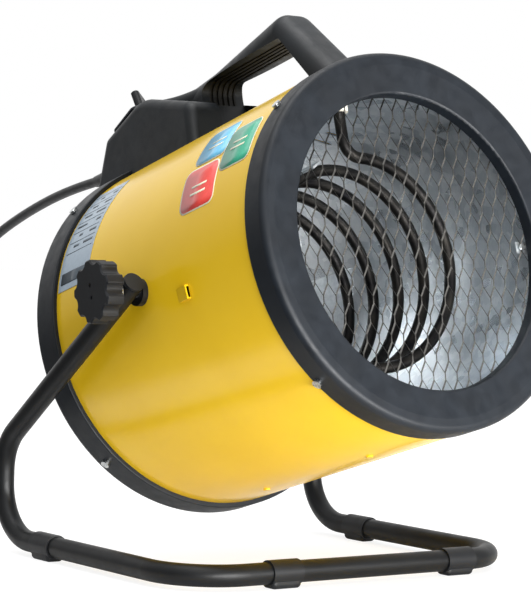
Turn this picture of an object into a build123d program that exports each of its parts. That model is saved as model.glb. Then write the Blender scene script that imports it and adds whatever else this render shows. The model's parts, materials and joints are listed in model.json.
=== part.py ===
from build123d import *
import math
import os

# Forced air heater: a drum that tilts between the arms of a bent tube stand.
# All sizes in millimetres. The drum's pieces are drawn in the drum's own frame: its axis is Y, the
# front faces -Y, Z is up, and the origin is where the line of the two clamp studs crosses the axis.
# place_in_row then tilts and lifts them to where the heater stands.

# ---- Drum ----
drum_radius = 138.0
drum_wall = 1.0
drum_length = 300.8            # front face to rear face, over both rings
pivot_setback = 156.8          # from the front face back to the line of the studs
tilt = 16.56                   # degrees, nose up
fit_gap = 0.1                  # between pieces that sit on each other's curved faces
loose_gap = 0.3                # between pieces that move past each other
cut_over = 1.0                 # how far a cut runs past the face it opens
wiring_hole_radius = 9.0
wiring_hole_from_rear = 62.8

# ---- Inner duct, its brackets and the cut-out on it ----
air_space = 20.8               # between the duct and the drum's skin
duct_wall = 1.0
duct_rear_gap = 8.0            # from the duct's rear edge to the guard
duct_slot_depths = (109.0, 126.0)
duct_slot_angle = 78.0
duct_slot_length = 16.0
duct_slot_width = 3.2
bracket_angles = (45.0, 135.0, 225.0, 315.0)
bracket_thickness = 1.2
bracket_length = 14.0
bracket_spread = 5.0           # degrees that each foot covers
bracket_web = 0.6              # degrees that the upright web covers
cutout_radius = 8.0
cutout_height = 9.0
cutout_depth = 190.0
cutout_base = (26.0, 12.0, 1.2)
cutout_blade = (1.0, 5.0, 7.0)
cutout_blade_offset = 4.5

# ---- Front ring and grille ----
ring_wall = 1.1
front_ring_depth = 21.0
front_ring_round = 5.0
front_screw_from_edge = 3.0
opening_step = 7.0             # how far the opening's edge stands in from the duct's wall
opening_dish = 2.0             # how far the opening's edge lies behind the front
opening_flange = 12.0
opening_round = 1.8
grille_margin = 2.2            # from the outermost gaps to the duct's wall
grille_overlap = 3.0           # rim of the grille outside the duct's wall
grille_thickness = 1.2
cell_width = 10.9              # pitch of the gaps across
cell_height = 27.5             # pitch of the gaps up
cell_side = 5.0                # length of a gap's upright sides
strand_width = 1.3
grille_rivet_inset = 11.2      # from the duct's wall in to the rivets
grille_rivet_radius = 1.2
grille_rivet_tail = 2.6
grille_head_radius = 2.6
grille_head_height = 1.4
tab_thickness = 1.2
tab_width = 9.0
tab_leg = 14.0
tab_margin = 5.0               # from a rivet to the tab's inner end

# ---- Rear ring and guard ----
rear_ring_wall = 3.6
rear_ring_depth = 26.7
rear_ring_round = 4.0
rear_ring_edge_round = 1.0
rear_screw_from_end = 11.5
rear_lip_width = 16.0          # from the drum's skin in to the lip's edge
rear_lip_thickness = 3.0
guard_thickness = 1.2
guard_slot_width = 7.0
guard_slot_pitch = 12.0
guard_slot_margin = 7.0        # from the motor's side to the first ring of slots
guard_spokes = 6
guard_spoke_width = 9.0

# ---- Heating element ----
element_inset = 38.2           # from the duct's wall in to the middle of the tube
element_tube = 8.5
element_quarters = 18          # quarter turns
element_first_depth = 56.0
element_to_fan = 32.0          # from the last turn to the middle of the fan's disc
element_end_bend = 14.0
bush_radius = 7.0
bush_length = 12.0
pin_radius = 2.0
pin_length = 7.0
pin_clearance = 4.0            # from a pin's end to the drum's skin
support_angles = (-125.0, 125.0)
support_width = 9.0
support_thickness = 1.6
support_overhang = 8.0         # bar in front of the first turn and behind the last
support_leg_shares = (0.2, 0.8)
support_foot_length = 8.0
support_foot_thickness = 1.0

# ---- Fan and motor ----
fan_tip_gap = 6.2
fan_blades = 5
blade_pitch = 28.0             # degrees
blade_thickness = 1.6
blade_root_width = 36.0
blade_tip_width = 78.0
blade_sweep = 6.0              # how far the tip leans to one side
blade_corner = 18.0
blade_overlap = 6.0            # how far a blade reaches onto the disc
fan_disc_radius = 32.0
fan_disc_thickness = 2.4
hub_radius = 11.0
hub_length = 16.0
hub_step = 4.0                 # from the hub's front to the middle of the disc
hub_gap = 6.0                  # from the hub to the motor's nose
hub_screw_radius = 2.0
motor_radius = 41.0
motor_length = 44.0
motor_round = 6.0
motor_nose_radius = 16.0
motor_nose_length = 7.0
shaft_radius = 4.0
shaft_gap = 0.05
shaft_reach = 32.0             # in front of the motor's nose
shaft_inside = 30.0            # within the motor
shaft_end_gap = 1.0
motor_screw_circle = 30.0
motor_screw_length = 12.0

# ---- Handle and control housing ----
# Drawn from depth behind the front face and height over the drum's skin. The box stands at the drum's
# rear, and the handle runs from behind the front ring into it.
housing_wall = 3.0
handle_half_width = 20.0
handle_round = 15.0
roof_corner = drum_length - 46.8
box_front = roof_corner - 70.0
box_base = -34.0
box_rear = drum_length + 29.2
box_top = 47.2
panel_front = (roof_corner + 13.0, box_top)
panel_rear = (roof_corner + 59.5, 31.7)
overhang_height = -10.0        # underside of the box behind the rear ring
ring_clearance = 1.0           # between the rear ring's face and the box
handle_outline = (             # depth, height and rounding of each corner
    (30.6, -18.0, 0),
    (106.2, 68.6, 9.0),
    (152.0, 60.8, 90.0),
    (roof_corner - 58.0, 53.2, 60.0),
    (roof_corner - 26.0, 50.4, 60.0),
    (roof_corner + 4.0, 49.0, 0),
    (roof_corner + 4.0, -18.0, 0),
)
finger_opening = (
    (57.9, -18.0, 0),
    (76.2, 8.2, 60.0),
    (105.0, 47.2, 4.0),
    (roof_corner - 42.5, 47.2, 11.0),
    (roof_corner - 43.5, 30.0, 20.0),
    (roof_corner - 56.0, -18.0, 0),
)
box_outline = (
    (box_front, box_base, 0),
    (box_front + 6.0, 24.0, 12.0),
    (roof_corner, box_top, 30.0),
    (*panel_front, 10.0),
    (*panel_rear, 8.5),
    (box_rear, -7.0, 0),
    (box_rear, overhang_height, 0),
    (drum_length + ring_clearance, overhang_height, 0),
    (drum_length + ring_clearance, box_base, 0),
)
box_base_half = 55.0
box_top_half = 46.0
box_round = 8.0
shoulder_low = 12.0
shoulder_round = 8.0
shoulder_sections = (          # depth, half width and height of the blend from the handle out to the box
    (roof_corner - 50.0, 18.0, 49.0),
    (roof_corner - 26.0, 21.0, 47.6),
    (roof_corner - 10.0, 27.5, 47.2),
    (roof_corner + 4.0, 42.0, 46.8),
)
liner_half_width = 12.5
liner_thickness = 2.0
liner_grooves = 5
liner_groove_width = 2.2
liner_groove_depth = 1.2
liner_groove_pitch = 5.0
liner_front = 106.0
liner_low = 30.0
box_screw_x = 30.0
box_screw_depths = (roof_corner - 42.0, roof_corner + 8.0)
handle_screw_depth = 62.0
housing_screw_length = 12.0
boss_size = 9.0
boss_height = 16.0
boss_rib = 3.0
dial_plate_thickness = 1.6
dial_plate_length = 38.0
dial_plate_half_width = 44.0
dial_plate_round = 6.0
panel_middle = 0.46            # where the plate's middle lies, from the panel's upper edge to its lower

# ---- Control knobs and what they turn ----
knob_offset = 25.0             # either side of the middle
knob_up = 5.5                  # from the plate's middle towards its upper edge
knob_radius = 13.4
knob_skirt = 5.0
knob_height = 18.6
knob_skirt_chamfer = 1.2
finger_bar_width = 6.7
finger_bar_chamfer = 0.8
finger_bar_turn = 41.0         # degrees, the way the left finger bar points at rest
pointer_length = 9.0
pointer_width = 1.2
pointer_depth = 0.5
pointer_middle = 7.4           # from the knob's axis
spindle_radius = 3.0
spindle_into_knob = 12.0
spindle_into_switch = 8.0
switch_size = 27.0
switch_depth = 15.0
switch_rise = 0.7              # height of the collar round each neck
thermostat_radius = 13.0
neck_radius = 4.6
terminal_size = (34.0, 16.0, 13.0)
terminal_hole_radius = 2.6
terminal_hole_depth = 4.0
terminal_gap = 12.0            # from the wiring hole to the terminal block

# ---- Cable gland ----
gland_x = -37.0
gland_to_box_rear = 4.0
gland_height = 4.0             # over the drum's skin
gland_rise = 7.6               # degrees over the drum axis, rearward
gland_radius = 6.5
gland_tip_radius = 4.7
gland_inside = 9.4
gland_neck = 4.0               # plain neck outside the wall
gland_outside = 22.0
gland_flange_width = 1.6
gland_flange_thickness = 2.0
cable_radius = 4.0

# ---- Stand ----
stand_tube_radius = 8.0
stand_tube_wall = 1.5
arm_gap = 4.7                  # between the drum's skin and each arm
stand_height = 194.7           # studs over the middle of the rails
front_rail_reach = 89.8        # in front of the studs
rear_bend_reach = 166.0        # behind the studs
arm_slope = 36.8               # degrees below level, running rearward
arm_top_length = 11.0          # tube beyond the stud
arm_bend_radius = 40.0
rail_bend_radius = 42.0
corner_radius = 48.0
clip_wall = 3.0                # between the tube and the floor
clip_collar = 1.4
clip_length = 26.0
clip_foot_width = 15.0
clip_foot_round = 3.5
front_clip_left = -70.0
front_clip_right = 92.0
rear_clip_reach = 98.0         # behind the studs
end_plug_head = 2.0
end_plug_step = 0.4            # how far the plug's head stands in from the tube's skin
end_plug_to_stud = 1.5

# ---- Clamp knobs ----
stud_radius = 4.0
stud_inside = 9.0              # how far the stud reaches in from the drum's skin
spacer_radius = 10.0
washer_radius = 9.5
washer_thickness = 1.6
clamp_hub_radius = 11.0
clamp_hub_length = 6.0
clamp_head_length = 14.0
clamp_head_radius = 23.0
clamp_lobes = 9
clamp_scallop_radius = 5.5
clamp_scallop_set = 0.45       # share of a scallop's radius by which its middle lies outside the head
clamp_corner = 1.6
clamp_edge_chamfer = 1.0
clamp_dimple_radius = 1.6
clamp_dimple_depth = 0.8
clamp_dimple_offset = 4.5
clamp_face_wall = 3.5          # between the blind bore and the head's face
stud_to_face = 4.0             # from the stud's end to the head's face
nut_across_flats = 13.0
nut_thickness = 6.5

# ---- Fasteners ----
screw_head_radius = 3.4
screw_head_height = 2.2
screw_radius = 1.8
screw_length = 8.0
rivet_radius = 2.6
rivet_shank_radius = 1.3
rivet_height = 1.1
rivet_tail = 2.0
rivet_depths = (87.0, 215.0)
seam_angle = -93.0

# ---- Louvre, plate and decal on the drum's side ----
louvre_depths = (98.0, 113.0)
louvre_angle = 186.0
louvre_width = 10.0
louvre_rise = 3.0
louvre_lip = 2.0               # solid wedge at the closed end
label_thickness = 0.3
plate_depths = (drum_length - 71.8, drum_length - 28.8)
plate_angles = (128.0, 168.0)
decal_depths = (62.0, 114.0)
decal_angles = (131.0, 167.0)

# ---- Mains cable, its coil and its plug ----
coil_centre = (-112.0, 386.0)  # beside the heater, from the studs' line
coil_lift = 1.0                # thickness of the tie that the coil lies on
coil_outer = 51.0              # radius of the middle of the outermost turn
coil_pitch = 8.7               # from one turn to the next
coil_layer = 8.7               # from the lower layer to the upper
coil_turns = 1.5               # in each layer
tie_width = 5.0
tie_thickness = 0.9
tie_clearance = 0.15
tie_round = 2.2
first_run = 42.0               # straight cable behind the gland
last_run = 27.0                # straight cable before the coil
plug_radius = 20.0
plug_height = 34.0
plug_chamfer = 2.0
plug_reach = 46.0              # from the coil's end to the middle of the plug
plug_neck = (24.0, 22.0)
plug_neck_round = 5.0
plug_relief_length = 32.0
plug_pin_radius = 2.4
plug_pin_length = 19.0
plug_pin_spacing = 19.0

front_y = -pivot_setback
rear_y = drum_length - pivot_setback
drum_inside = drum_radius - drum_wall
duct_outer = drum_inside - air_space
duct_radius = duct_outer - duct_wall
ring_outer = drum_radius + fit_gap + ring_wall
opening_radius = duct_radius - opening_step
grille_radius = duct_radius - grille_margin
grille_rivet_x = duct_radius - grille_rivet_inset
duct_front_y = front_y + opening_flange + grille_thickness + 2 * fit_gap
front_screw_depth = front_ring_depth - front_screw_from_edge
rear_ring_radius = drum_radius + fit_gap + rear_ring_wall
rear_lip_radius = drum_radius - rear_lip_width
guard_front_y = rear_y - rear_lip_thickness - guard_thickness
duct_rear_y = guard_front_y - duct_rear_gap
stand_half_width = drum_radius + arm_gap + stand_tube_radius
rail_height = stand_tube_radius + clip_wall
stud_height = rail_height + stand_height
motor_rear_y = guard_front_y - fit_gap
motor_front_y = motor_rear_y - motor_length
nose_front_y = motor_front_y - motor_nose_length
hub_rear_y = nose_front_y - hub_gap
hub_front_y = hub_rear_y - hub_length
hub_screw_y = hub_rear_y - hub_length / 4
fan_middle_y = hub_front_y + hub_step
upward = (Align.CENTER, Align.CENTER, Align.MIN)


def at_depth(depth):
    """Y in the drum's frame of a point that lies so far behind the front face."""
    return front_y + depth


def turned(profile, rounds=()):
    """Solid turned about the drum axis from (radius, y) points, with some corners rounded."""
    face = Polygon(*profile, align=None)
    for radius, y, size in rounds:
        face = fillet(face.vertices().sort_by_distance((radius, y, 0))[0], size)
    return revolve(face, axis=Axis.Y)


def arc_ring(inner, outer, y_start, y_end):
    return turned([(inner, y_start), (outer, y_start), (outer, y_end), (inner, y_end)])


def arc_plate(inner, outer, y_range, angles):
    """Curved plate between two radii, at angles that run from +X towards +Z."""
    start, end = y_range
    face = Polygon((inner, start), (outer, start), (outer, end), (inner, end), align=None)
    return Rot(0, -angles[1], 0) * revolve(face, axis=Axis.Y, revolution_arc=angles[1] - angles[0])


def rod(start, direction, radius, length):
    """Round bar that starts at a point and runs along a direction."""
    return extrude(Plane(origin=start, z_dir=direction) * Circle(radius), length)


def radial(angle):
    return Vector(math.cos(math.radians(angle)), 0, math.sin(math.radians(angle)))


def skin_hole(x, depth, radius):
    """Upright rod through the top of the drum's skin."""
    return rod((x, at_depth(depth), drum_inside / 2), (0, 0, 1), radius, drum_radius)


# ---- Drum and rings ----

def screw_places():
    """Where the ring screws enter the drum: (y, angle, radius of the face they sit on)."""
    front = [(at_depth(front_screw_depth), a, ring_outer) for a in bracket_angles]
    rear = [(rear_y - rear_screw_from_end, a, rear_ring_radius) for a in bracket_angles]
    return front + rear


def screw_holes():
    holes = Part()
    for y, angle, seat in screw_places():
        out = radial(angle)
        start = out * (seat - screw_length - cut_over) + Vector(0, y, 0)
        holes += rod(start, out, screw_radius + fit_gap, screw_length + 2 * cut_over)
    return holes


def louvre_window():
    """What the louvre leaves open in the skin."""
    length = louvre_depths[1] - louvre_depths[0]
    window = Box(louvre_width - 2 * drum_wall, length, 4 * drum_wall + 2 * louvre_rise)
    return Pos(drum_radius, at_depth(sum(louvre_depths) / 2), 0) * Rot(0, 90, 0) * window


def louvre_hood():
    """Pressed hood that rises towards its open front end."""
    front, rear = [at_depth(depth) for depth in louvre_depths]
    low, high = drum_inside, drum_radius + louvre_rise
    outside = Polygon((low, rear), (drum_radius, rear), (high, front), (low, front), align=None)
    inside = Polygon((low - cut_over, rear - louvre_lip), (low, rear - louvre_lip),
                     (high - drum_wall, front - cut_over), (low - cut_over, front - cut_over), align=None)
    hood = extrude(outside, louvre_width / 2, both=True)
    return hood - extrude(inside, louvre_width / 2 - drum_wall, both=True)


def make_drum_shell():
    front = at_depth(ring_wall + front_ring_round)
    shell = arc_ring(drum_inside, drum_radius, front, guard_front_y - fit_gap)
    for side in (-1, 1):
        shell -= rod((side * drum_inside / 2, 0, 0), (side, 0, 0), stud_radius + loose_gap, drum_radius)
    shell -= skin_hole(0, wiring_hole_depth(), wiring_hole_radius)
    turn = Rot(0, -louvre_angle, 0)
    shell -= turn * louvre_window()
    shell += turn * louvre_hood()
    shell -= screw_holes()
    out = radial(seam_angle)
    for depth in rivet_depths:
        start = out * (drum_inside - rivet_tail) + Vector(0, at_depth(depth), 0)
        shell -= rod(start, out, rivet_shank_radius + fit_gap, 3 * rivet_tail)
    for x, depth in housing_screw_places():
        shell -= skin_hole(x, depth, screw_radius + fit_gap)
    return shell


def make_seam_rivets():
    rivets = []
    out = radial(seam_angle)
    for depth in rivet_depths:
        along = Vector(0, at_depth(depth), 0)
        foot = out * (drum_inside - rivet_tail) + along
        shank = rod(foot, out, rivet_shank_radius, drum_wall + rivet_tail + fit_gap)
        head = rod(out * (drum_radius + fit_gap) + along, out, rivet_radius, rivet_height)
        rivets.append(shank + head)
    return rivets


def make_front_ring():
    inside, face_back = ring_outer - ring_wall, front_y + ring_wall
    face_edge = ring_outer - 2 * front_ring_round
    dish, edge = front_y + opening_dish, front_y + opening_flange
    flange_inner, dish_back = opening_radius + ring_wall, face_back + opening_dish
    ring = turned(
        [(ring_outer, front_y + front_ring_depth), (ring_outer, front_y), (face_edge, front_y),
         (opening_radius, dish), (opening_radius, edge), (flange_inner, edge), (flange_inner, dish_back),
         (face_edge, face_back), (inside, face_back), (inside, front_y + front_ring_depth)],
        [(ring_outer, front_y, front_ring_round), (inside, face_back, front_ring_round - ring_wall),
         (opening_radius, dish, opening_round), (flange_inner, dish_back, opening_round - ring_wall)])
    return ring - screw_holes()


def make_rear_ring():
    sleeve = drum_radius + fit_gap
    front_edge = rear_y - rear_ring_depth
    lip = rear_y - rear_lip_thickness
    ring = turned(
        [(sleeve, front_edge), (rear_ring_radius, front_edge), (rear_ring_radius, rear_y),
         (rear_lip_radius, rear_y), (rear_lip_radius, lip), (sleeve, lip)],
        [(rear_ring_radius, rear_y, rear_ring_round), (rear_ring_radius, front_edge, rear_ring_edge_round)])
    return ring - screw_holes()


def make_ring_screws():
    screws = []
    for y, angle, seat in screw_places():
        out = radial(angle)
        shank = rod(out * (seat - screw_length) + Vector(0, y, 0), out, screw_radius, screw_length + fit_gap)
        head = rod(out * (seat + fit_gap) + Vector(0, y, 0), out, screw_head_radius, screw_head_height)
        screws.append(shank + head)
    return screws


# ---- Grille, duct and what hangs on it ----

def make_front_grille():
    """Expanded metal: one flat disc with rows of upright diamonds, every second row set over by half."""
    y = front_y + opening_flange + fit_gap
    disc = Circle(duct_radius + grille_overlap)
    rise = (cell_height / 2 - cell_side) / (cell_width / 2)
    half_w = (cell_width - strand_width) / 2
    half_h = (cell_height - cell_side) / 2 - strand_width / 2 * math.sqrt(1 + rise ** 2)
    flat = half_h - rise * half_w
    columns = int(grille_radius / cell_width) * 2 + 1
    rows = int(grille_radius / cell_height) + 1
    holes = Sketch()
    count = 0
    for column in range(-columns, columns + 1):
        for row in range(-rows, rows + 1):
            x = column * cell_width / 2
            z = row * cell_height + (cell_height / 2 if column % 2 else 0)
            if math.hypot(x, z) > grille_radius - half_w:
                continue
            reach = math.sqrt(grille_radius ** 2 - x ** 2)
            top, low = min(z + half_h, reach), max(z - half_h, -reach)
            waist_top, waist_low = min(z + flat, top - cut_over), max(z - flat, low + cut_over)
            points = [(x, top), (x + half_w, waist_top), (x + half_w, waist_low), (x, low),
                      (x - half_w, waist_low), (x - half_w, waist_top)]
            holes += Polygon(*points, align=None)
            count += 1
    print("grille gaps", count)
    face = Plane(origin=(0, y, 0), x_dir=(1, 0, 0), z_dir=(0, 1, 0)) * (disc - holes)
    net = extrude(face, grille_thickness)
    for side in (-1, 1):
        net -= rod((side * grille_rivet_x, y - cut_over, 0), (0, 1, 0), grille_rivet_radius + fit_gap,
                   grille_thickness + 2 * cut_over)
    return net


def make_grille_rivets():
    y = front_y + opening_flange
    rivets = []
    length = grille_thickness + tab_thickness + 2 * fit_gap + grille_rivet_tail
    for side in (-1, 1):
        x = side * grille_rivet_x
        head = rod((x, y, 0), (0, -1, 0), grille_head_radius, grille_head_height)
        shank = rod((x, y, 0), (0, 1, 0), grille_rivet_radius, length)
        rivets.append(head + shank)
    return rivets


def make_grille_tabs():
    """Two angle tabs that tie the grille to the duct's wall."""
    y = duct_front_y
    inner, outer = grille_rivet_x - tab_margin, duct_radius - 2 * fit_gap
    half = tab_thickness / 2
    tabs = []
    for side in (-1, 1):
        face = Pos(side * (inner + outer) / 2, y + half, 0) * Box(outer - inner, tab_thickness, tab_width)
        leg = Pos(side * (outer - half), y + tab_leg / 2, 0) * Box(tab_thickness, tab_leg, tab_width)
        hole = rod((side * grille_rivet_x, y - cut_over, 0), (0, 1, 0), grille_rivet_radius + fit_gap,
                   tab_thickness + 2 * cut_over)
        tabs.append(face + leg - hole)
    return tabs


def make_inner_duct():
    duct = arc_ring(duct_radius, duct_outer, duct_front_y, duct_rear_y)
    half_angle = math.degrees(duct_slot_length / duct_radius) / 2
    for depth in duct_slot_depths:
        y = at_depth(depth)
        duct -= arc_plate(duct_radius - cut_over, duct_outer + cut_over,
                          (y - duct_slot_width / 2, y + duct_slot_width / 2),
                          (duct_slot_angle - half_angle, duct_slot_angle + half_angle))
    for start, direction in element_ends():
        duct -= rod(start, direction, bush_radius + fit_gap, drum_inside - element_radius)
    return duct


def make_duct_brackets():
    """Folded brackets, each with a foot on the duct and another under the drum's skin."""
    low, high = duct_outer + fit_gap, drum_inside - fit_gap
    short, long = bracket_length / 4, bracket_length * 3 / 4
    brackets = []
    for y, angle, seat in screw_places():
        y_range = (y - long, y + short) if y > 0 else (y - short, y + long)
        bend = angle - bracket_spread
        foot = arc_plate(low, low + bracket_thickness, y_range, (angle - 2 * bracket_spread, angle))
        top = arc_plate(high - bracket_thickness, high, y_range, (angle, angle + bracket_spread))
        top += arc_plate(high - bracket_thickness, high, y_range, (bend, angle))
        web = arc_plate(low, high, y_range, (bend - bracket_web, bend))
        brackets.append(foot + top + web)
    holes = screw_holes()
    return [b - holes for b in brackets]


def make_thermal_cutout():
    """Disc thermostat on a base plate, with two blades that its wires push onto."""
    y, seat, base_height = at_depth(cutout_depth), duct_outer + fit_gap, cutout_base[2]
    cutout = Pos(0, y, seat) * Box(*cutout_base, align=upward)
    cutout += Pos(0, y, seat + base_height) * Cylinder(cutout_radius, cutout_height, align=upward)
    for side in (-1, 1):
        blade_foot = seat + cutout_height + 0.5
        cutout += Pos(side * cutout_blade_offset, y, blade_foot) * Box(*cutout_blade, align=upward)
    return cutout


# ---- Heating element ----

element_radius = duct_radius - element_inset
element_end_radius = drum_inside - pin_clearance - pin_length
element_pitch = (fan_middle_y - element_to_fan - at_depth(element_first_depth)) / (element_quarters / 4)


def helix_point(quarter):
    angle = math.radians(90 - 90 * quarter)
    y = at_depth(element_first_depth) + element_pitch * quarter / 4
    return Vector(element_radius * math.cos(angle), y, element_radius * math.sin(angle))


def helix_tangent(quarter):
    angle = math.radians(90 - 90 * quarter)
    turn = 2 * math.pi * element_radius
    return Vector(turn * math.sin(angle), element_pitch, -turn * math.cos(angle)).normalized()


def element_ends():
    """Where each end of the element leaves the coil's circle, and its direction out through the duct."""
    ends = []
    for quarter, way in ((0, -1), (element_quarters, 1)):
        point, tangent = helix_point(quarter), helix_tangent(quarter) * way
        out = Vector(point.X, 0, point.Z).normalized()
        ends.append((point + (tangent + out) * element_end_bend, out))
    return ends


def joined_arcs(start, start_tangent, end, end_tangent):
    """Two arcs that leave a point along one tangent and reach another point along a second."""
    chord, both = end - start, start_tangent + end_tangent
    a = 2 * (start_tangent.dot(end_tangent) - 1)
    b = -2 * chord.dot(both)
    c = chord.dot(chord)
    reach = (-b - math.sqrt(b * b - 4 * a * c)) / (2 * a)
    middle = (start + start_tangent * reach + end - end_tangent * reach) / 2
    first = Edge.make_tangent_arc(start, start_tangent, middle)
    second = Edge.make_tangent_arc(middle, first % 1, end)
    return [first, second]


def make_heating_element():
    (front_foot, front_out), (rear_foot, rear_out) = element_ends()
    stub = element_end_radius - (element_radius + element_end_bend)
    edges = [Edge.make_line(front_foot + front_out * stub, front_foot)]
    edges.append(Edge.make_tangent_arc(front_foot, front_out * -1, helix_point(0)))
    for quarter in range(element_quarters):
        edges += joined_arcs(helix_point(quarter), helix_tangent(quarter),
                             helix_point(quarter + 1), helix_tangent(quarter + 1))
    last = element_quarters
    edges.append(Edge.make_tangent_arc(helix_point(last), helix_tangent(last), rear_foot))
    edges.append(Edge.make_line(rear_foot, rear_foot + rear_out * stub))
    path = Wire(edges)
    tube = sweep(Plane(origin=path @ 0, z_dir=path % 0) * Circle(element_tube / 2), path=path)
    expected = math.pi * element_tube ** 2 / 4 * path.length
    print("element length", round(path.length, 1), "turn gap", round(element_pitch - element_tube, 2),
          "volume over section times length", round(tube.volume / expected, 4))
    return tube


def make_ceramic_bushes():
    bushes = []
    for foot, out in element_ends():
        start = foot + out * (duct_outer - bush_length / 2 - (element_radius + element_end_bend))
        bush = rod(start, out, bush_radius, bush_length)
        hole = rod(start - out * cut_over, out, element_tube / 2 + fit_gap, bush_length + 2 * cut_over)
        bushes.append(bush - hole)
    return bushes


def make_terminal_pins():
    pins = []
    for foot, out in element_ends():
        start = foot + out * (element_end_radius - (element_radius + element_end_bend))
        pins.append(rod(start, out, pin_radius, pin_length))
    return pins


def make_element_supports():
    """Flat bars under the coil's turns, each on two legs that stand on the duct's wall."""
    inner = element_radius + element_tube / 2 + fit_gap
    outer = duct_radius - 2 * fit_gap
    y_start = at_depth(element_first_depth - support_overhang)
    length = element_pitch * element_quarters / 4 + 2 * support_overhang
    middle = y_start + length / 2
    bar = Pos(inner + support_thickness / 2, middle, 0) * Box(support_thickness, length, support_width)
    leg = Box(outer - inner, support_thickness, support_width)
    foot = Box(support_foot_thickness, support_foot_length, support_width)
    for share in support_leg_shares:
        y = y_start + length * share
        bar += Pos((inner + outer) / 2, y, 0) * leg
        bar += Pos(outer - support_foot_thickness / 2, y + support_foot_length / 2, 0) * foot
    return [Rot(0, -angle, 0) * bar for angle in support_angles]


# ---- Fan, motor and rear guard ----

fan_radius = duct_radius - fan_tip_gap
hub_neck_radius = hub_radius - 2
hub_collar_radius = hub_radius + 2


def make_fan_impeller():
    """Disc with pitched blades, each trimmed to the fan's circle."""
    half_disc = fan_disc_thickness / 2
    fan = arc_ring(hub_neck_radius, fan_disc_radius, fan_middle_y - half_disc, fan_middle_y + half_disc)
    root, tip = fan_disc_radius - blade_overlap, fan_radius + 4 * cut_over
    half_root, half_tip = blade_root_width / 2, blade_tip_width / 2
    outline = Polygon((root, -half_root), (tip, -half_tip - blade_sweep), (tip, half_tip - blade_sweep),
                      (root, half_root), align=None)
    rounded = outline.vertices().sort_by_distance((tip, half_tip - blade_sweep, 0))[0]
    blade = extrude(fillet(rounded, blade_corner), blade_thickness / 2, both=True)
    blade = Pos(0, fan_middle_y, 0) * Rot(blade_pitch - 90, 0, 0) * blade
    front, rear = fan_middle_y - blade_tip_width, fan_middle_y + blade_tip_width
    rim = arc_ring(root - 2 * cut_over, fan_radius, front, rear)
    for number in range(fan_blades):
        fan += Rot(0, number * 360 / fan_blades, 0) * (blade & rim)
    return fan


def make_fan_hub():
    """Hub with a neck through the disc, a collar behind it, and a hole for its set screw."""
    bore, neck = shaft_radius + fit_gap / 5, hub_neck_radius - fit_gap
    collar_y = fan_middle_y + fan_disc_thickness / 2 + fit_gap
    hub = turned([(bore, hub_front_y), (neck, hub_front_y), (neck, collar_y), (hub_collar_radius, collar_y),
                  (hub_collar_radius, hub_rear_y), (bore, hub_rear_y)])
    length = hub_collar_radius + 2 * cut_over
    return hub - rod((0, hub_screw_y, 0), (0, 0, 1), hub_screw_radius + fit_gap, length)


def make_hub_screw():
    foot = shaft_radius + fit_gap
    return rod((0, hub_screw_y, foot), (0, 0, 1), hub_screw_radius, hub_collar_radius - shaft_radius)


def make_motor_shaft():
    front_end = nose_front_y - shaft_reach
    return rod((0, front_end, 0), (0, 1, 0), shaft_radius, motor_front_y + shaft_inside - front_end)


def make_motor_body():
    bore, bore_end = shaft_radius + shaft_gap, motor_front_y + shaft_inside + shaft_end_gap
    body = turned(
        [(bore, nose_front_y), (motor_nose_radius, nose_front_y), (motor_nose_radius, motor_front_y),
         (motor_radius, motor_front_y), (motor_radius, motor_rear_y), (0, motor_rear_y), (0, bore_end),
         (bore, bore_end)],
        [(motor_radius, motor_front_y, motor_round)])
    return body - motor_screw_holes()


def motor_screw_seats():
    """Where the four screws' heads rest on the guard."""
    seat = guard_front_y + guard_thickness + fit_gap
    return [radial(45 + 90 * number) * motor_screw_circle + Vector(0, seat, 0) for number in range(4)]


def motor_screw_holes():
    holes = Part()
    length = motor_screw_length + 2 * cut_over + fit_gap
    for seat in motor_screw_seats():
        holes += rod(seat + Vector(0, cut_over, 0), (0, -1, 0), screw_radius + fit_gap, length)
    return holes


def make_motor_screws():
    screws = []
    for seat in motor_screw_seats():
        shank = rod(seat, (0, -1, 0), screw_radius, motor_screw_length)
        screws.append(shank + rod(seat, (0, 1, 0), screw_head_radius, screw_head_height))
    return screws


def make_rear_guard():
    """Pressed plate with rings of curved slots between spokes. The motor hangs on its middle."""
    guard = arc_ring(0, drum_radius - 2 * fit_gap, guard_front_y, guard_front_y + guard_thickness - fit_gap)
    first_slot = motor_radius + guard_slot_margin
    slot_rings = int((rear_lip_radius - first_slot) / guard_slot_pitch)
    step = 360 / guard_spokes
    through = (guard_front_y - cut_over, guard_front_y + guard_thickness + cut_over)
    for ring in range(slot_rings):
        inner = first_slot + ring * guard_slot_pitch
        margin = math.degrees(guard_spoke_width / 2 / inner)
        slot = arc_plate(inner, inner + guard_slot_width, through, (margin, step - margin))
        for number in range(guard_spokes):
            guard -= Rot(0, number * step, 0) * slot
    return guard - motor_screw_holes()


# ---- Handle and control housing ----

def side_face(corners):
    """Side outline from corners given as depth, height over the skin and rounding."""
    places = [(at_depth(depth), drum_radius + height, size) for depth, height, size in corners]
    face = Polygon(*[(y, z) for y, z, size in places], align=None)
    for y, z, size in places:
        if size:
            face = fillet(face.vertices().sort_by_distance((y, z, 0))[0], size)
    return face


def across(face, half_width):
    return extrude(Plane.YZ * face, half_width, both=True)


def grip_block(inset):
    """The handle as a block with rounded upper edges, drawn in by the inset."""
    outline = side_face(handle_outline)
    if inset:
        outline = offset(outline, -inset, kind=Kind.INTERSECTION)
    half_width = handle_half_width - inset
    grip = across(outline, half_width)
    rear = at_depth(handle_outline[-1][0] - inset)
    long_edges = grip.edges().filter_by(lambda e: abs(abs(e.center().X) - half_width) < fit_gap)
    upper = [e for e in long_edges if e.center().Z > drum_radius and e.center().Y < rear - fit_gap]
    return fillet(upper, handle_round - inset)


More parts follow.
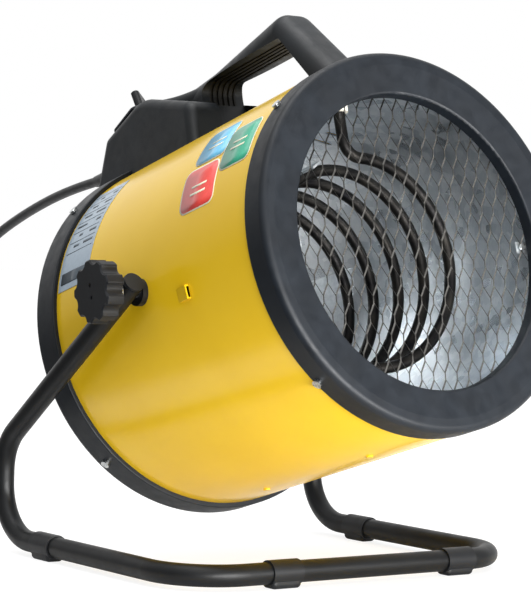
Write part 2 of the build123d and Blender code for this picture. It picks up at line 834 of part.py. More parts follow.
def box_block(inset):
    """The box as a block: its side outline, cut to a cross-section that narrows upward."""
    outline = side_face(box_outline)
    if inset:
        outline = offset(outline, -inset, kind=Kind.INTERSECTION)
    slope = (box_base_half - box_top_half) / (box_top - box_base) * cut_over
    low, high = drum_radius + box_base - cut_over, drum_radius + box_top + cut_over
    half_low = box_base_half + slope - inset
    half_high = box_top_half - slope - inset
    section = Polygon((-half_low, low), (half_low, low), (half_high, high), (-half_high, high), align=None)
    start = Plane(origin=(0, at_depth(box_front - cut_over), 0), x_dir=(1, 0, 0), z_dir=(0, -1, 0))
    length = box_rear - box_front + 2 * cut_over
    block = across(outline, box_base_half + cut_over) & extrude(start * section, -length)
    base = drum_radius + overhang_height + housing_wall
    edges = [e for e in block.edges() if abs(e.center().X) > half_high - cut_over and e.center().Z > base]
    return fillet(edges, box_round - inset)


def shoulder_block(inset):
    """Blend between the handle's sides and the box's roof, drawn in by the inset."""
    sections = []
    low = drum_radius + shoulder_low
    for depth, half_width, top in shoulder_sections:
        half, high = half_width - inset, drum_radius + top - inset
        face = Polygon((-half, low), (half, low), (half, high), (-half, high), align=None)
        face = fillet(face.vertices().sort_by(Axis.Y)[-2:], shoulder_round - inset)
        sections.append(Plane(origin=(0, at_depth(depth), 0), x_dir=(1, 0, 0), z_dir=(0, -1, 0)) * face)
    return loft(sections)


def drum_space():
    """The room that the drum and the rear ring's sleeve take under the housing."""
    rear = rear_y + ring_clearance
    skin = arc_ring(0, drum_radius + fit_gap, front_y, rear)
    return skin + arc_ring(0, rear_ring_radius + fit_gap, rear_y - rear_ring_depth - loose_gap, rear)


def liner_space():
    """What the liner takes over and behind the finger opening."""
    band = offset(side_face(finger_opening), liner_thickness, kind=Kind.INTERSECTION)
    front, rear = at_depth(liner_front), at_depth(box_rear)
    low, high = drum_radius + liner_low, 2 * drum_radius
    return band & Polygon((front, low), (rear, low), (rear, high), (front, high), align=None)


def make_control_housing():
    shell = grip_block(0) + box_block(0) + shoulder_block(0)
    room = grip_block(housing_wall) + box_block(housing_wall) + shoulder_block(housing_wall)
    round_opening = offset(side_face(finger_opening), liner_thickness + housing_wall, kind=Kind.INTERSECTION)
    room -= across(round_opening, handle_half_width + housing_wall)
    shell -= room
    for x, depth in housing_screw_places():
        shell += housing_boss(x, depth)
    shell -= across(side_face(finger_opening), handle_half_width)
    shell -= across(liner_space(), liner_half_width + fit_gap)
    shell -= drum_space()
    start = drum_inside / 2
    for x, depth in housing_screw_places():
        top = housing_screw_seat(x) + housing_screw_length + cut_over
        shell -= rod((x, at_depth(depth), start), (0, 0, 1), screw_radius + fit_gap, top - start)
    shell -= neck_holes()
    return shell - rod(gland_start(), gland_way(), gland_radius + fit_gap, gland_inside + gland_outside)


def housing_screw_places():
    """Sideways place and depth of the screws up through the drum's skin."""
    in_box = [(side * box_screw_x, depth) for side in (-1, 1) for depth in box_screw_depths]
    return [(0, handle_screw_depth)] + in_box


def housing_screw_seat(x):
    """Height under the drum's skin at which a housing screw's head sits."""
    return math.sqrt(drum_inside ** 2 - (abs(x) + screw_head_radius) ** 2) - fit_gap


def housing_boss(x, depth):
    """Screw boss that stands over the drum's skin, tied to the housing's walls by a rib."""
    foot = drum_radius - boss_size
    height = boss_size + boss_height
    boss = Pos(x, at_depth(depth), foot) * Box(boss_size, boss_size, height, align=upward)
    outward = math.copysign(handle_half_width / 2, x) if x else 0
    reach = handle_half_width if x else 2 * handle_half_width
    boss += Pos(x + outward, at_depth(depth), foot) * Box(reach, boss_rib, height, align=upward)
    return boss & (box_block(housing_wall / 2) if x else grip_block(housing_wall / 2))


def panel_plane():
    slope = math.atan2(panel_front[1] - panel_rear[1], panel_rear[0] - panel_front[0])
    depth, height = [a + (b - a) * panel_middle for a, b in zip(panel_front, panel_rear)]
    middle = (0, at_depth(depth), drum_radius + height)
    return Plane(origin=middle, x_dir=(1, 0, 0), z_dir=(0, math.sin(slope), math.cos(slope)))


def on_panel(x, up):
    """Place on the sloping panel: X across, Y down the slope, Z out of it."""
    return panel_plane().location * Pos(x, -up, 0)


def neck_holes():
    """Holes through the panel and its plate for the necks of the switch and the thermostat."""
    deep = housing_wall + neck_radius
    hole = Pos(0, 0, -deep) * Cylinder(neck_radius + fit_gap, 2 * deep, align=upward)
    return on_panel(-knob_offset, knob_up) * hole + on_panel(knob_offset, knob_up) * hole


def make_grip_liner():
    """Ribbed liner over and behind the finger opening, let into the handle."""
    liner = across(liner_space() - side_face(finger_opening), liner_half_width)
    grooved = offset(side_face(finger_opening), liner_groove_depth, kind=Kind.INTERSECTION)
    for number in range(liner_grooves):
        x = (number - (liner_grooves - 1) / 2) * liner_groove_pitch
        liner -= Pos(x, 0, 0) * across(grooved, liner_groove_width / 2)
    return liner


def make_dial_plate():
    outline = RectangleRounded(2 * dial_plate_half_width, dial_plate_length, dial_plate_round)
    plate = on_panel(0, 0) * Pos(0, 0, fit_gap) * extrude(outline, dial_plate_thickness)
    return plate - neck_holes()


def make_knob(x, turn):
    """Round skirt with a finger bar across it, and a blind bore for the spindle."""
    base = Cylinder(knob_radius, knob_skirt, align=upward)
    base = chamfer(base.edges().sort_by(Axis.Z)[-1], knob_skirt_chamfer)
    outline = RectangleRounded(2 * knob_radius - 1, finger_bar_width, finger_bar_width / 2 - 0.35)
    bar = extrude(outline, knob_height)
    bar = chamfer(bar.edges().group_by(Axis.Z)[-1], finger_bar_chamfer)
    pointer = Pos(pointer_middle, 0, knob_height) * Box(pointer_length, pointer_width, 2 * pointer_depth)
    bore = Cylinder(spindle_radius + fit_gap / 5, spindle_into_knob, align=upward)
    knob = Rot(0, 0, turn) * (base + bar - pointer) - bore
    return on_panel(x, knob_up) * Pos(0, 0, dial_plate_thickness + loose_gap + fit_gap) * knob


def make_spindle(x):
    foot = -housing_wall - spindle_into_switch
    top = dial_plate_thickness + loose_gap + spindle_into_knob - cut_over
    return on_panel(x, knob_up) * Pos(0, 0, foot) * Cylinder(spindle_radius, top - foot, align=upward)


def switch_solid(body):
    """Body under the panel, with a collar, a neck through the panel and a bore for a spindle."""
    inner_face = -housing_wall - fit_gap
    solid = Pos(0, 0, inner_face - switch_depth - switch_rise + fit_gap) * body
    solid += Pos(0, 0, inner_face - switch_rise) * Cylinder(neck_radius + 1, switch_rise, align=upward)
    neck_length = housing_wall + dial_plate_thickness + fit_gap
    solid += Pos(0, 0, inner_face) * Cylinder(neck_radius, neck_length, align=upward)
    foot = -housing_wall - spindle_into_switch - cut_over
    return solid - Pos(0, 0, foot) * Cylinder(spindle_radius + shaft_gap, neck_length - foot, align=upward)


def make_selector_switch():
    body = Box(switch_size, switch_size, switch_depth, align=upward)
    return on_panel(-knob_offset, knob_up) * switch_solid(body)


def make_thermostat():
    body = Cylinder(thermostat_radius, switch_depth, align=upward)
    return on_panel(knob_offset, knob_up) * switch_solid(body)


def wiring_hole_depth():
    return drum_length - wiring_hole_from_rear


def make_terminal_block():
    """Block that lies on the skin behind the wiring hole, with a row of three screw wells."""
    wide, long, high = terminal_size
    y = at_depth(wiring_hole_depth() + terminal_gap + long / 2)
    block = Pos(0, y, drum_radius + fit_gap) * Box(wide, long, high, align=upward)
    for number in (-1, 0, 1):
        well = Cylinder(terminal_hole_radius, 2 * terminal_hole_depth, align=upward)
        block -= Pos(number * wide / 3, y, drum_radius + high - terminal_hole_depth) * well
    return block


def make_housing_screws():
    screws = []
    for x, depth in housing_screw_places():
        seat = housing_screw_seat(x)
        shank = rod((x, at_depth(depth), seat), (0, 0, 1), screw_radius, housing_screw_length)
        head = rod((x, at_depth(depth), seat), (0, 0, -1), screw_head_radius, screw_head_height)
        screws.append(shank + head)
    return screws


def gland_way():
    return Vector(0, math.cos(math.radians(gland_rise)), math.sin(math.radians(gland_rise)))


def gland_start():
    """Where the gland begins inside the box."""
    mouth = Vector(gland_x, at_depth(box_rear - gland_to_box_rear), drum_radius + gland_height)
    return mouth - gland_way() * gland_inside


def make_cable_gland():
    """Strain relief: a flange inside the wall, a plain neck through it, and a taper outside."""
    way = gland_way()
    start = gland_start()
    flange = rod(start, way, gland_radius + gland_flange_width, gland_flange_thickness)
    neck = rod(start, way, gland_radius, gland_inside + gland_neck)
    taper_start = start + way * (gland_inside + gland_neck)
    taper_end = start + way * (gland_inside + gland_outside)
    taper = loft([Plane(origin=taper_start, z_dir=way) * Circle(gland_radius),
                  Plane(origin=taper_end, z_dir=way) * Circle(gland_tip_radius)])
    return flange + neck + taper


# ---- Labels ----

def label(depths, angles):
    inner = drum_radius + fit_gap / 2
    return arc_plate(inner, inner + label_thickness, (at_depth(depths[0]), at_depth(depths[1])), angles)


# ---- Clamp knobs, on the stand's arms ----

arm_inner = stand_half_width - stand_tube_radius
arm_outer = stand_half_width + stand_tube_radius
washer_x = arm_outer + loose_gap
clamp_x = washer_x + washer_thickness + fit_gap


def make_spacer(side):
    """Bush between the drum's skin and the arm, hollowed to the skin."""
    start, out = drum_inside / 2, (side, 0, 0)
    spacer = rod((side * start, 0, 0), out, spacer_radius, arm_inner - loose_gap - start)
    spacer -= arc_ring(0, drum_radius + fit_gap, -2 * spacer_radius, 2 * spacer_radius)
    return spacer - rod((side * start, 0, 0), out, stud_radius + loose_gap, drum_radius)


def make_weld_nut(side):
    corner, out = nut_across_flats / math.sqrt(3), (side, 0, 0)
    seat = math.sqrt(drum_inside ** 2 - corner ** 2) - fit_gap
    start = seat - nut_thickness
    nut = extrude(Plane(origin=(side * start, 0, 0), z_dir=out) * RegularPolygon(corner, 6), nut_thickness)
    hole_start = (side * (start - cut_over), 0, 0)
    return nut - rod(hole_start, out, stud_radius + shaft_gap, nut_thickness + 2 * cut_over)


def make_stud(side):
    start = drum_radius - stud_inside
    end = clamp_x + clamp_hub_length + clamp_head_length - stud_to_face
    return rod((side * start, 0, 0), (side, 0, 0), stud_radius, end - start)


def make_washer(side):
    out = (side, 0, 0)
    disc = rod((side * washer_x, 0, 0), out, washer_radius, washer_thickness)
    hole_start = (side * (washer_x - cut_over), 0, 0)
    return disc - rod(hole_start, out, stud_radius + fit_gap / 2, washer_thickness + 2 * cut_over)


def make_clamp_knob(side):
    """Scalloped head on a round hub, with a blind bore for the stud."""
    out = (side, 0, 0)
    head_x = clamp_x + clamp_hub_length
    face_x = head_x + clamp_head_length
    hub = rod((side * clamp_x, 0, 0), out, clamp_hub_radius, clamp_hub_length + cut_over)
    outline = Circle(clamp_head_radius)
    scallop_x = clamp_head_radius + clamp_scallop_radius * clamp_scallop_set
    scallop = Pos(scallop_x, 0) * Circle(clamp_scallop_radius)
    for number in range(clamp_lobes):
        outline -= Rot(0, 0, number * 360 / clamp_lobes) * scallop
    outline = fillet(outline.vertices(), clamp_corner)
    head = extrude(Plane(origin=(side * head_x, 0, 0), z_dir=out) * outline, clamp_head_length)
    face_edges = head.edges().filter_by(lambda e: abs(abs(e.center().X) - face_x) < fit_gap)
    knob = chamfer(face_edges, clamp_edge_chamfer) + hub
    for z in (-clamp_dimple_offset, clamp_dimple_offset):
        floor = (side * (face_x - clamp_dimple_depth), 0, z)
        knob -= rod(floor, out, clamp_dimple_radius, 2 * clamp_dimple_depth)
    bore_start = clamp_x - cut_over
    bore_length = face_x - clamp_face_wall - bore_start
    return knob - rod((side * bore_start, 0, 0), out, stud_radius + fit_gap / 5, bore_length)


# ---- Stand ----

def stand_path():
    """Middle line of the bent tube, from the left arm's top round the front to the right arm's top."""
    slope = math.tan(math.radians(arm_slope))
    top_y = -arm_top_length * math.cos(math.radians(arm_slope))
    rear, rail = rear_bend_reach, -stand_height
    side = [(top_y, -top_y * slope), (rear, -rear * slope), (rear, rail), (-front_rail_reach, rail)]
    left = [(-stand_half_width, y, z) for y, z in side]
    right = [(stand_half_width, y, z) for y, z in reversed(side)]
    radii = [arm_bend_radius, rail_bend_radius, corner_radius]
    return FilletPolyline(*left, *right, radius=radii + radii[::-1])


def make_stand_tube():
    path = stand_path()
    start = Plane(origin=path @ 0, z_dir=path % 0)
    tube = sweep(start * Circle(stand_tube_radius), path=path)
    tube -= sweep(start * Circle(stand_tube_radius - stand_tube_wall), path=path)
    for side in (-1, 1):
        hole_start = (side * (arm_inner - cut_over), 0, 0)
        tube -= rod(hole_start, (side, 0, 0), stud_radius + shaft_gap, 2 * (stand_tube_radius + cut_over))
    return tube


def make_end_plugs():
    path = stand_path()
    stem_length = arm_top_length - stud_radius - end_plug_to_stud
    plugs = []
    for end, way in ((path @ 0, path % 0 * -1), (path @ 1, path % 1)):
        head = rod(end + way * fit_gap, way, stand_tube_radius - end_plug_step, end_plug_head)
        stem = rod(end - way * stem_length, way, stand_tube_radius - stand_tube_wall - fit_gap,
                   stem_length + end_plug_head / 2)
        plugs.append(head + stem)
    return plugs


def make_foot_clips():
    """Clips that wrap the rails, each with a rounded foot under the tube."""
    places = [((front_clip_left, -front_rail_reach), 90), ((front_clip_right, -front_rail_reach), 90),
              ((-stand_half_width, rear_clip_reach), 0), ((stand_half_width, rear_clip_reach), 0)]
    foot = Pos(0, 0, -rail_height) * Box(clip_foot_width, clip_length, rail_height, align=upward)
    foot = fillet(foot.edges().group_by(Axis.Z)[0] + foot.edges().filter_by(Axis.Z), clip_foot_round)
    clip = foot + Rot(90, 0, 0) * Cylinder(stand_tube_radius + clip_collar, clip_length)
    clip -= Rot(90, 0, 0) * Cylinder(stand_tube_radius + fit_gap, clip_length + 2 * cut_over)
    return [Pos(x, y, -stand_height) * Rot(0, 0, turn) * clip for (x, y), turn in places]


# ---- Mains cable ----

def gland_tip():
    """The cable's start and direction, in the frame of the studs with Z still from their line."""
    lean = Rot(-tilt, 0, 0)
    tip = gland_start() + gland_way() * (gland_inside + gland_outside)
    return (lean * Pos(tip)).position, (lean * Pos(gland_way())).position


def cable_points():
    """Hand-chosen route from the gland, through the air and down to the coil's first turn."""
    start, way = gland_tip()
    lift = -stud_height
    first = start + way * first_run
    chosen = [(-37.0, 330.0, 266.0), (-38.0, 392.0, 242.0), (-42.0, 431.0, 213.0), (-51.0, 456.0, 179.0),
              (-61.0, 470.0, 140.0), (-74.0, 477.0, 101.0), (-91.0, 478.0, 64.0), (-111.0, 471.0, 36.0),
              (-132.0, 461.0, 18.0), (-152.5, 443.5, 8.5)]
    end = coil_point(0)
    points = [start, first] + [Vector(x, y, z + lift) for x, y, z in chosen]
    return points + [end - coil_tangent(0) * last_run, end]


def coil_state(share):
    """Angle, radius and height along the coil, share running from 0 to 1 over all its turns."""
    total = 2 * coil_turns + 0.5
    turns = share * total
    radius = coil_outer - coil_pitch * min(turns, total - turns)
    climb = min(max((turns - coil_turns) / 0.5, 0), 1)
    height = coil_lift + cable_radius - stud_height + coil_layer * climb * climb * (3 - 2 * climb)
    return math.radians(180) + 2 * math.pi * turns, radius, height


def coil_point(share):
    angle, radius, height = coil_state(share)
    x, y = coil_centre
    return Vector(x + radius * math.cos(angle), y + radius * math.sin(angle), height)


def coil_tangent(share):
    """Direction of the coil at a knot, worked out from points just before and after it."""
    step = 0.002
    if share < step or share > 1 - step:
        angle = coil_state(share)[0]
        return Vector(-math.sin(angle), math.cos(angle), 0)
    return (coil_point(share + step) - coil_point(share - step)).normalized()


def make_mains_cable():
    vectors = cable_points()
    runs = [(b - a) for a, b in zip(vectors, vectors[1:])]
    radii = []
    for before, after in zip(runs, runs[1:]):
        turn = math.radians(before.get_angle(after))
        radii.append(0.45 * min(before.length, after.length) / math.tan(turn / 2))
    path = FilletPolyline(*vectors, radius=radii)
    print("cable runs", [round(r.length, 1) for r in runs])
    print("cable radii", [round(r, 1) for r in radii])
    print("cable points", [tuple(round(c, 1) for c in (v.X, v.Y, v.Z + stud_height)) for v in vectors])
    return cable_tube("cable", path)


def cable_tube(name, path):
    """Cable along a path, with its volume held against its section times its length."""
    tube = sweep(Plane(origin=path @ 0, z_dir=path % 0) * Circle(cable_radius), path=path)
    expected = math.pi * cable_radius ** 2 * path.length
    print(name, "length", round(path.length, 1), "volume over section times length",
          round(tube.volume / expected, 4))
    return tube


def coil_path():
    knots = int(round((2 * coil_turns + 0.5) * 4))
    edges = []
    for number in range(knots):
        a, b = number / knots, (number + 1) / knots
        edges += joined_arcs(coil_point(a), coil_tangent(a), coil_point(b), coil_tangent(b))
    end = coil_point(1)
    edges.append(Edge.make_line(end, end + coil_tangent(1) * 2 * cable_radius))
    return Wire(edges)


def make_cable_coil():
    """The coil, with its least gap to itself taken between points that lie well apart along it."""
    path = coil_path()
    spacing = cable_radius / 2
    count = int(path.length / spacing)
    samples = [path @ (n / count) for n in range(count + 1)]
    apart = int(10 * cable_radius / spacing)
    gap = min((a - b).length for number, a in enumerate(samples) for b in samples[number + apart:])
    print("coil least gap", round(gap - 2 * cable_radius, 2))
    return cable_tube("coil", path)


def make_coil_tie():
    """A flat tie round both layers of the coil."""
    inner = coil_outer - coil_pitch * (coil_turns + 0.25) - cable_radius - tie_clearance
    outer = coil_outer - coil_pitch * 0.75 + cable_radius + tie_clearance
    high = coil_layer + 2 * cable_radius + 2 * tie_clearance
    width = outer - inner
    outside = RectangleRounded(width + 2 * tie_thickness, high + 2 * tie_thickness - fit_gap, tie_round + 0.8)
    inside = RectangleRounded(width, high, tie_round)
    low = coil_lift - tie_clearance - stud_height
    middle = (coil_centre[0], coil_centre[1] + (inner + outer) / 2, low + high / 2)
    face = Plane(origin=middle, x_dir=(0, 1, 0), z_dir=(1, 0, 0)) * (outside - inside)
    return extrude(face, tie_width / 2, both=True)


def plug_middle():
    end = coil_point(1) + coil_tangent(1) * 2 * cable_radius
    return end, end + coil_tangent(1) * plug_reach


def make_plug_body():
    """Moulded angled plug that lies on its back, with a tapered relief round the cable."""
    end, middle = plug_middle()
    way = coil_tangent(1)
    floor = Vector(middle.X, middle.Y, -stud_height)
    body = Pos(floor) * Cylinder(plug_radius, plug_height, align=upward)
    body = chamfer(body.edges().filter_by(GeomType.CIRCLE), plug_chamfer)
    wide, long = plug_neck
    high = 2 * (end.Z + stud_height)
    neck = Pos(floor.X, floor.Y - long / 2, floor.Z) * Box(wide, long, high, align=upward)
    relief = loft([Plane(origin=end, z_dir=way) * Circle(cable_radius + 0.8),
                   Plane(origin=end + way * plug_relief_length, z_dir=way) * Circle(cable_radius + 3.4)])
    return body + fillet(neck.edges().filter_by(Axis.Y), plug_neck_round) + relief


def make_plug_pins():
    end, middle = plug_middle()
    pins = []
    for side in (-1, 1):
        top = Vector(middle.X + side * plug_pin_spacing / 2, middle.Y, plug_height - stud_height + fit_gap)
        pin = rod(top, (0, 0, 1), plug_pin_radius, plug_pin_length)
        pins.append(fillet(pin.edges().sort_by(Axis.Z)[-1], plug_pin_radius * 0.8))
    return pins


# ---- Everything in its place ----

def drum_pieces():
    return {
        "drum_shell": make_drum_shell(),
        "seam_rivets": make_seam_rivets(),
        "front_ring": make_front_ring(),
        "rear_ring": make_rear_ring(),
        "ring_screws": make_ring_screws(),
        "front_grille": make_front_grille(),
        "grille_rivets": make_grille_rivets(),
        "grille_tabs": make_grille_tabs(),
        "inner_duct": make_inner_duct(),
        "duct_brackets": make_duct_brackets(),
        "thermal_cutout": make_thermal_cutout(),
        "heating_element": make_heating_element(),
        "ceramic_bushes": make_ceramic_bushes(),
        "terminal_pins": make_terminal_pins(),
        "element_supports": make_element_supports(),
        "fan_impeller": make_fan_impeller(),
        "fan_hub": make_fan_hub(),
        "hub_screw": make_hub_screw(),
        "motor_shaft": make_motor_shaft(),
        "motor_body": make_motor_body(),
        "motor_screws": make_motor_screws(),
        "rear_guard": make_rear_guard(),
        "control_housing": make_control_housing(),
        "grip_liner": make_grip_liner(),
        "dial_plate": make_dial_plate(),
        "selector_knob": make_knob(-knob_offset, finger_bar_turn),
        "thermostat_knob": make_knob(knob_offset, -finger_bar_turn),
        "selector_spindle": make_spindle(-knob_offset),
        "thermostat_spindle": make_spindle(knob_offset),
        "selector_switch": make_selector_switch(),
        "thermostat": make_thermostat(),
        "terminal_block": make_terminal_block(),
        "housing_screws": make_housing_screws(),
        "cable_gland": make_cable_gland(),
        "data_plate": label(plate_depths, plate_angles),
        "side_decal": label(decal_depths, decal_angles),
        "left_spacer": make_spacer(-1),
        "right_spacer": make_spacer(1),
        "left_weld_nut": make_weld_nut(-1),
        "right_weld_nut": make_weld_nut(1),
        "left_stud": make_stud(-1),
        "right_stud": make_stud(1),
        "left_washer": make_washer(-1),
        "right_washer": make_washer(1),
        "left_clamp_knob": make_clamp_knob(-1),
        "right_clamp_knob": make_clamp_knob(1),
    }


def stand_pieces():
    return {
        "stand_tube": make_stand_tube(),
        "tube_end_plugs": make_end_plugs(),
        "foot_clips": make_foot_clips(),
    }


def cord_pieces():
    return {
        "mains_cable": make_mains_cable(),
        "cable_coil": make_cable_coil(),
        "coil_tie": make_coil_tie(),
        "plug_body": make_plug_body(),
        "plug_pins": make_plug_pins(),
    }


def as_shape(piece):
    """One compound for a group of loose solids, or the piece itself."""
    if isinstance(piece, list):
        return Compound(children=[Compound(p.solids()) if len(p.solids()) > 1 else p.solid() for p in piece])
    return piece


def place_in_row(drum, stand, cord):
    """Tilt the drum, stand all on the floor, and put the origin under the middle of the heater's own box."""
    pieces = {name: Rot(-tilt, 0, 0) * as_shape(piece) for name, piece in drum.items()}
    pieces.update({name: as_shape(piece) for name, piece in stand.items()})
    boxes = [piece.bounding_box() for piece in pieces.values()]
    middle_y = (min(b.min.Y for b in boxes) + max(b.max.Y for b in boxes)) / 2
    lift = Pos(0, -middle_y, stud_height)
    pieces.update({name: as_shape(piece) for name, piece in cord.items()})
    print("studs at", (0, round(-middle_y, 4), stud_height))
    return {name: lift * piece for name, piece in pieces.items()}


def main():
    os.makedirs("parts", exist_ok=True)
    for name, piece in place_in_row(drum_pieces(), stand_pieces(), cord_pieces()).items():
        export_step(piece, f"parts/{name}.step")


main()
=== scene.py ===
"""Looks of the forced air heater: finishes, net, labels, dial marks, cable, light and camera.

Lengths are in millimetres where a name or a comment says so, and turn to metres through MM.
Places on the drum are given as depth behind the front ring's face, and as an angle from +X
towards +Z.
"""

import json
import math

import bmesh
import bpy
from mathutils import Matrix, Vector


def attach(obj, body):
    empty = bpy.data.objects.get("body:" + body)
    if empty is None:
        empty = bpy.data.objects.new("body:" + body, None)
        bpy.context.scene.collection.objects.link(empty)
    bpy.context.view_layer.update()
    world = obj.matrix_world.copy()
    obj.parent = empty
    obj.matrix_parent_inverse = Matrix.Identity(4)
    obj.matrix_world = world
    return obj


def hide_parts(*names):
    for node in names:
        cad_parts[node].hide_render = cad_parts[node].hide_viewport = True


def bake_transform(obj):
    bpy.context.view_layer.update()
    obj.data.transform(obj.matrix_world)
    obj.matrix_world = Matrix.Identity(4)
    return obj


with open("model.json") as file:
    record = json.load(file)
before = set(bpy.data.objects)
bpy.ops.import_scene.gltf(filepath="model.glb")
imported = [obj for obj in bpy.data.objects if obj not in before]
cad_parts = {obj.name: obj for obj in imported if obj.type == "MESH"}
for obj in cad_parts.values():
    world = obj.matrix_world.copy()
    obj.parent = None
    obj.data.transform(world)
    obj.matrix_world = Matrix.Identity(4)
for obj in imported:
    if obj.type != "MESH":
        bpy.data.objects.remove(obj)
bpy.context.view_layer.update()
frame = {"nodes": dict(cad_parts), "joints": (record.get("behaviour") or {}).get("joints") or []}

MM = 0.001
joints = {joint["name"]: joint for joint in frame["joints"]}
PIVOT = Vector(joints["drum_tilt"]["pos_m"])
FORWARD = Vector(joints["fan_spin"]["axis"])
TILT = math.asin(FORWARD.z)            # how far the drum's nose is up at rest
PIVOT_SETBACK = 156.8                  # from the front face back to the studs, mm


# ---- Helpers ----

FACTOR, FIRST_COLOUR, SECOND_COLOUR = 0, 6, 7    # sockets of a Mix node set to colours
MIXED_COLOUR = 2


def linear(hex_colour):
    """Linear colour of an sRGB hex value."""
    channels = [int(hex_colour[i:i + 2], 16) / 255 for i in (1, 3, 5)]
    return [c / 12.92 if c <= 0.04045 else ((c + 0.055) / 1.055) ** 2.4 for c in channels] + [1.0]


def paler(hex_colour, step):
    """The same colour, with every channel raised."""
    channels = [min(255, int(hex_colour[i:i + 2], 16) + step) for i in (1, 3, 5)]
    return "#" + "".join(f"{c:02x}" for c in channels)


def add_node(tree, kind, settings=None, links=None):
    """Adds a node, sets its properties and sockets, and links other nodes' outputs to it."""
    node = tree.nodes.new(kind)
    for name, value in (settings or {}).items():
        if isinstance(name, int) or name in node.inputs:
            node.inputs[name].default_value = value
        else:
            setattr(node, name, value)
    for name, source in (links or {}).items():
        tree.links.new(source, node.inputs[name])
    return node


def new_finish(name, **sockets):
    """A material with one Principled shader, and the sockets given."""
    material = bpy.data.materials.new(name)
    material.use_nodes = True
    shader = material.node_tree.nodes["Principled BSDF"]
    for key, value in sockets.items():
        shader.inputs[key.replace("_", " ")].default_value = value
    return material, material.node_tree, shader


# ---- Finishes ----

CLOUD_RANGE = (0.3, 0.7)               # nearly all of a noise's values lie between these
EDGE_MM = 0.6                          # how wide an edge is rubbed
EDGE_BEND = (0.75, 0.98)               # how well the rounded normal agrees, on an edge and a flat
EDGE_RUBBED = 0.3                      # share of the paler colour on an edge
EDGE_PALER = 38                        # steps of 255 from the light colour to the rubbed one
MOULD_GRAIN_MM = 0.8                   # near 0.1 mm on the real one, coarser here so that it shows
SHEATH_GRAIN_MM = 0.8                  # coarser than the real rubber's, for the same reason
SPANGLE_MM = 7.0                       # width of a zinc crystal


def blotches(tree, points, size_mm, detail):
    """A share from 0 to 1 that drifts over the surface, in blotches about size_mm across."""
    cloud = add_node(tree, "ShaderNodeTexNoise", {"Scale": 1 / (size_mm * MM), "Detail": detail},
                     {"Vector": points})
    share = add_node(tree, "ShaderNodeMapRange",
                     {"From Min": CLOUD_RANGE[0], "From Max": CLOUD_RANGE[1]},
                     {"Value": cloud.outputs["Fac"]})
    return share.outputs["Result"]


def add_grain(tree, shader, points, size_mm, detail, depth_mm):
    """A fine uneven skin, with bumps about size_mm across and depth_mm high."""
    height = add_node(tree, "ShaderNodeTexNoise", {"Scale": 1 / (size_mm * MM), "Detail": detail},
                      {"Vector": points})
    skin = add_node(tree, "ShaderNodeBump", {"Strength": 1.0, "Distance": depth_mm * MM},
                    {"Height": height.outputs["Fac"]})
    tree.links.new(skin.outputs["Normal"], shader.inputs["Normal"])


def add_shades(tree, shader, share, dark, light, roughness=None):
    """Colour from dark to light by a share from 0 to 1, and the roughness by the same share."""
    body = add_node(tree, "ShaderNodeMix", {"data_type": "RGBA", FIRST_COLOUR: linear(dark),
                                            SECOND_COLOUR: linear(light)}, {FACTOR: share})
    tree.links.new(body.outputs[MIXED_COLOUR], shader.inputs["Base Color"])
    if roughness:
        gloss = add_node(tree, "ShaderNodeMapRange",
                         {"To Min": roughness[0], "To Max": roughness[1]}, {"Value": share})
        tree.links.new(gloss.outputs["Result"], shader.inputs["Roughness"])


def mottled_finish(name, dark, light, cloud, gloss=None, grain=None, **sockets):
    """A finish that drifts between two hex colours, and may drift in gloss and have a grain.

    cloud is the blotches' size in mm and their detail. gloss is a size, a detail, and the lowest
    and highest roughness. grain is a size, a detail, and a depth in mm.
    """
    material, tree, shader = new_finish(name, **sockets)
    points = add_node(tree, "ShaderNodeTexCoord").outputs["Object"]
    add_shades(tree, shader, blotches(tree, points, *cloud), dark, light)
    if gloss:
        size_mm, detail, low, high = gloss
        drift = add_node(tree, "ShaderNodeMapRange", {"To Min": low, "To Max": high},
                         {"Value": blotches(tree, points, size_mm, detail)})
        tree.links.new(drift.outputs["Result"], shader.inputs["Roughness"])
    if grain:
        add_grain(tree, shader, points, *grain)
    return material


def stoved_enamel(name, dark, light, roughness):
    """Stoved gloss enamel on sheet steel: an even colour, a clear gloss and faint orange peel."""
    return mottled_finish(name, dark, light, cloud=(60, 3), grain=(2.2, 2, 0.008),
                          Roughness=roughness, IOR=1.5)


def powder_coat(name, dark, light, roughness):
    """Powder coat on steel tube: satin, with a fine pebbled skin."""
    return mottled_finish(name, dark, light, cloud=(25, 3),
                          gloss=(12, 3, roughness - 0.05, roughness + 0.07), grain=(0.9, 2, 0.03),
                          IOR=1.5, Specular_IOR_Level=0.3)


def moulded_plastic(name, dark, light, roughness):
    """Injection-moulded plastic: spark-eroded grain, uneven gloss, and edges rubbed paler."""
    material = mottled_finish(name, dark, light, cloud=(18, 4),
                              gloss=(9, 4, roughness - 0.06, roughness + 0.08),
                              grain=(MOULD_GRAIN_MM, 3, 0.03), IOR=1.5, Specular_IOR_Level=0.35)
    tree = material.node_tree
    shader = tree.nodes["Principled BSDF"]
    body = shader.inputs["Base Color"].links[0].from_socket
    rubbed = add_node(tree, "ShaderNodeMix",
                      {"data_type": "RGBA", SECOND_COLOUR: linear(paler(light, EDGE_PALER))},
                      {FACTOR: rubbed_share(tree), FIRST_COLOUR: body})
    tree.links.new(rubbed.outputs[MIXED_COLOUR], shader.inputs["Base Color"])
    return material


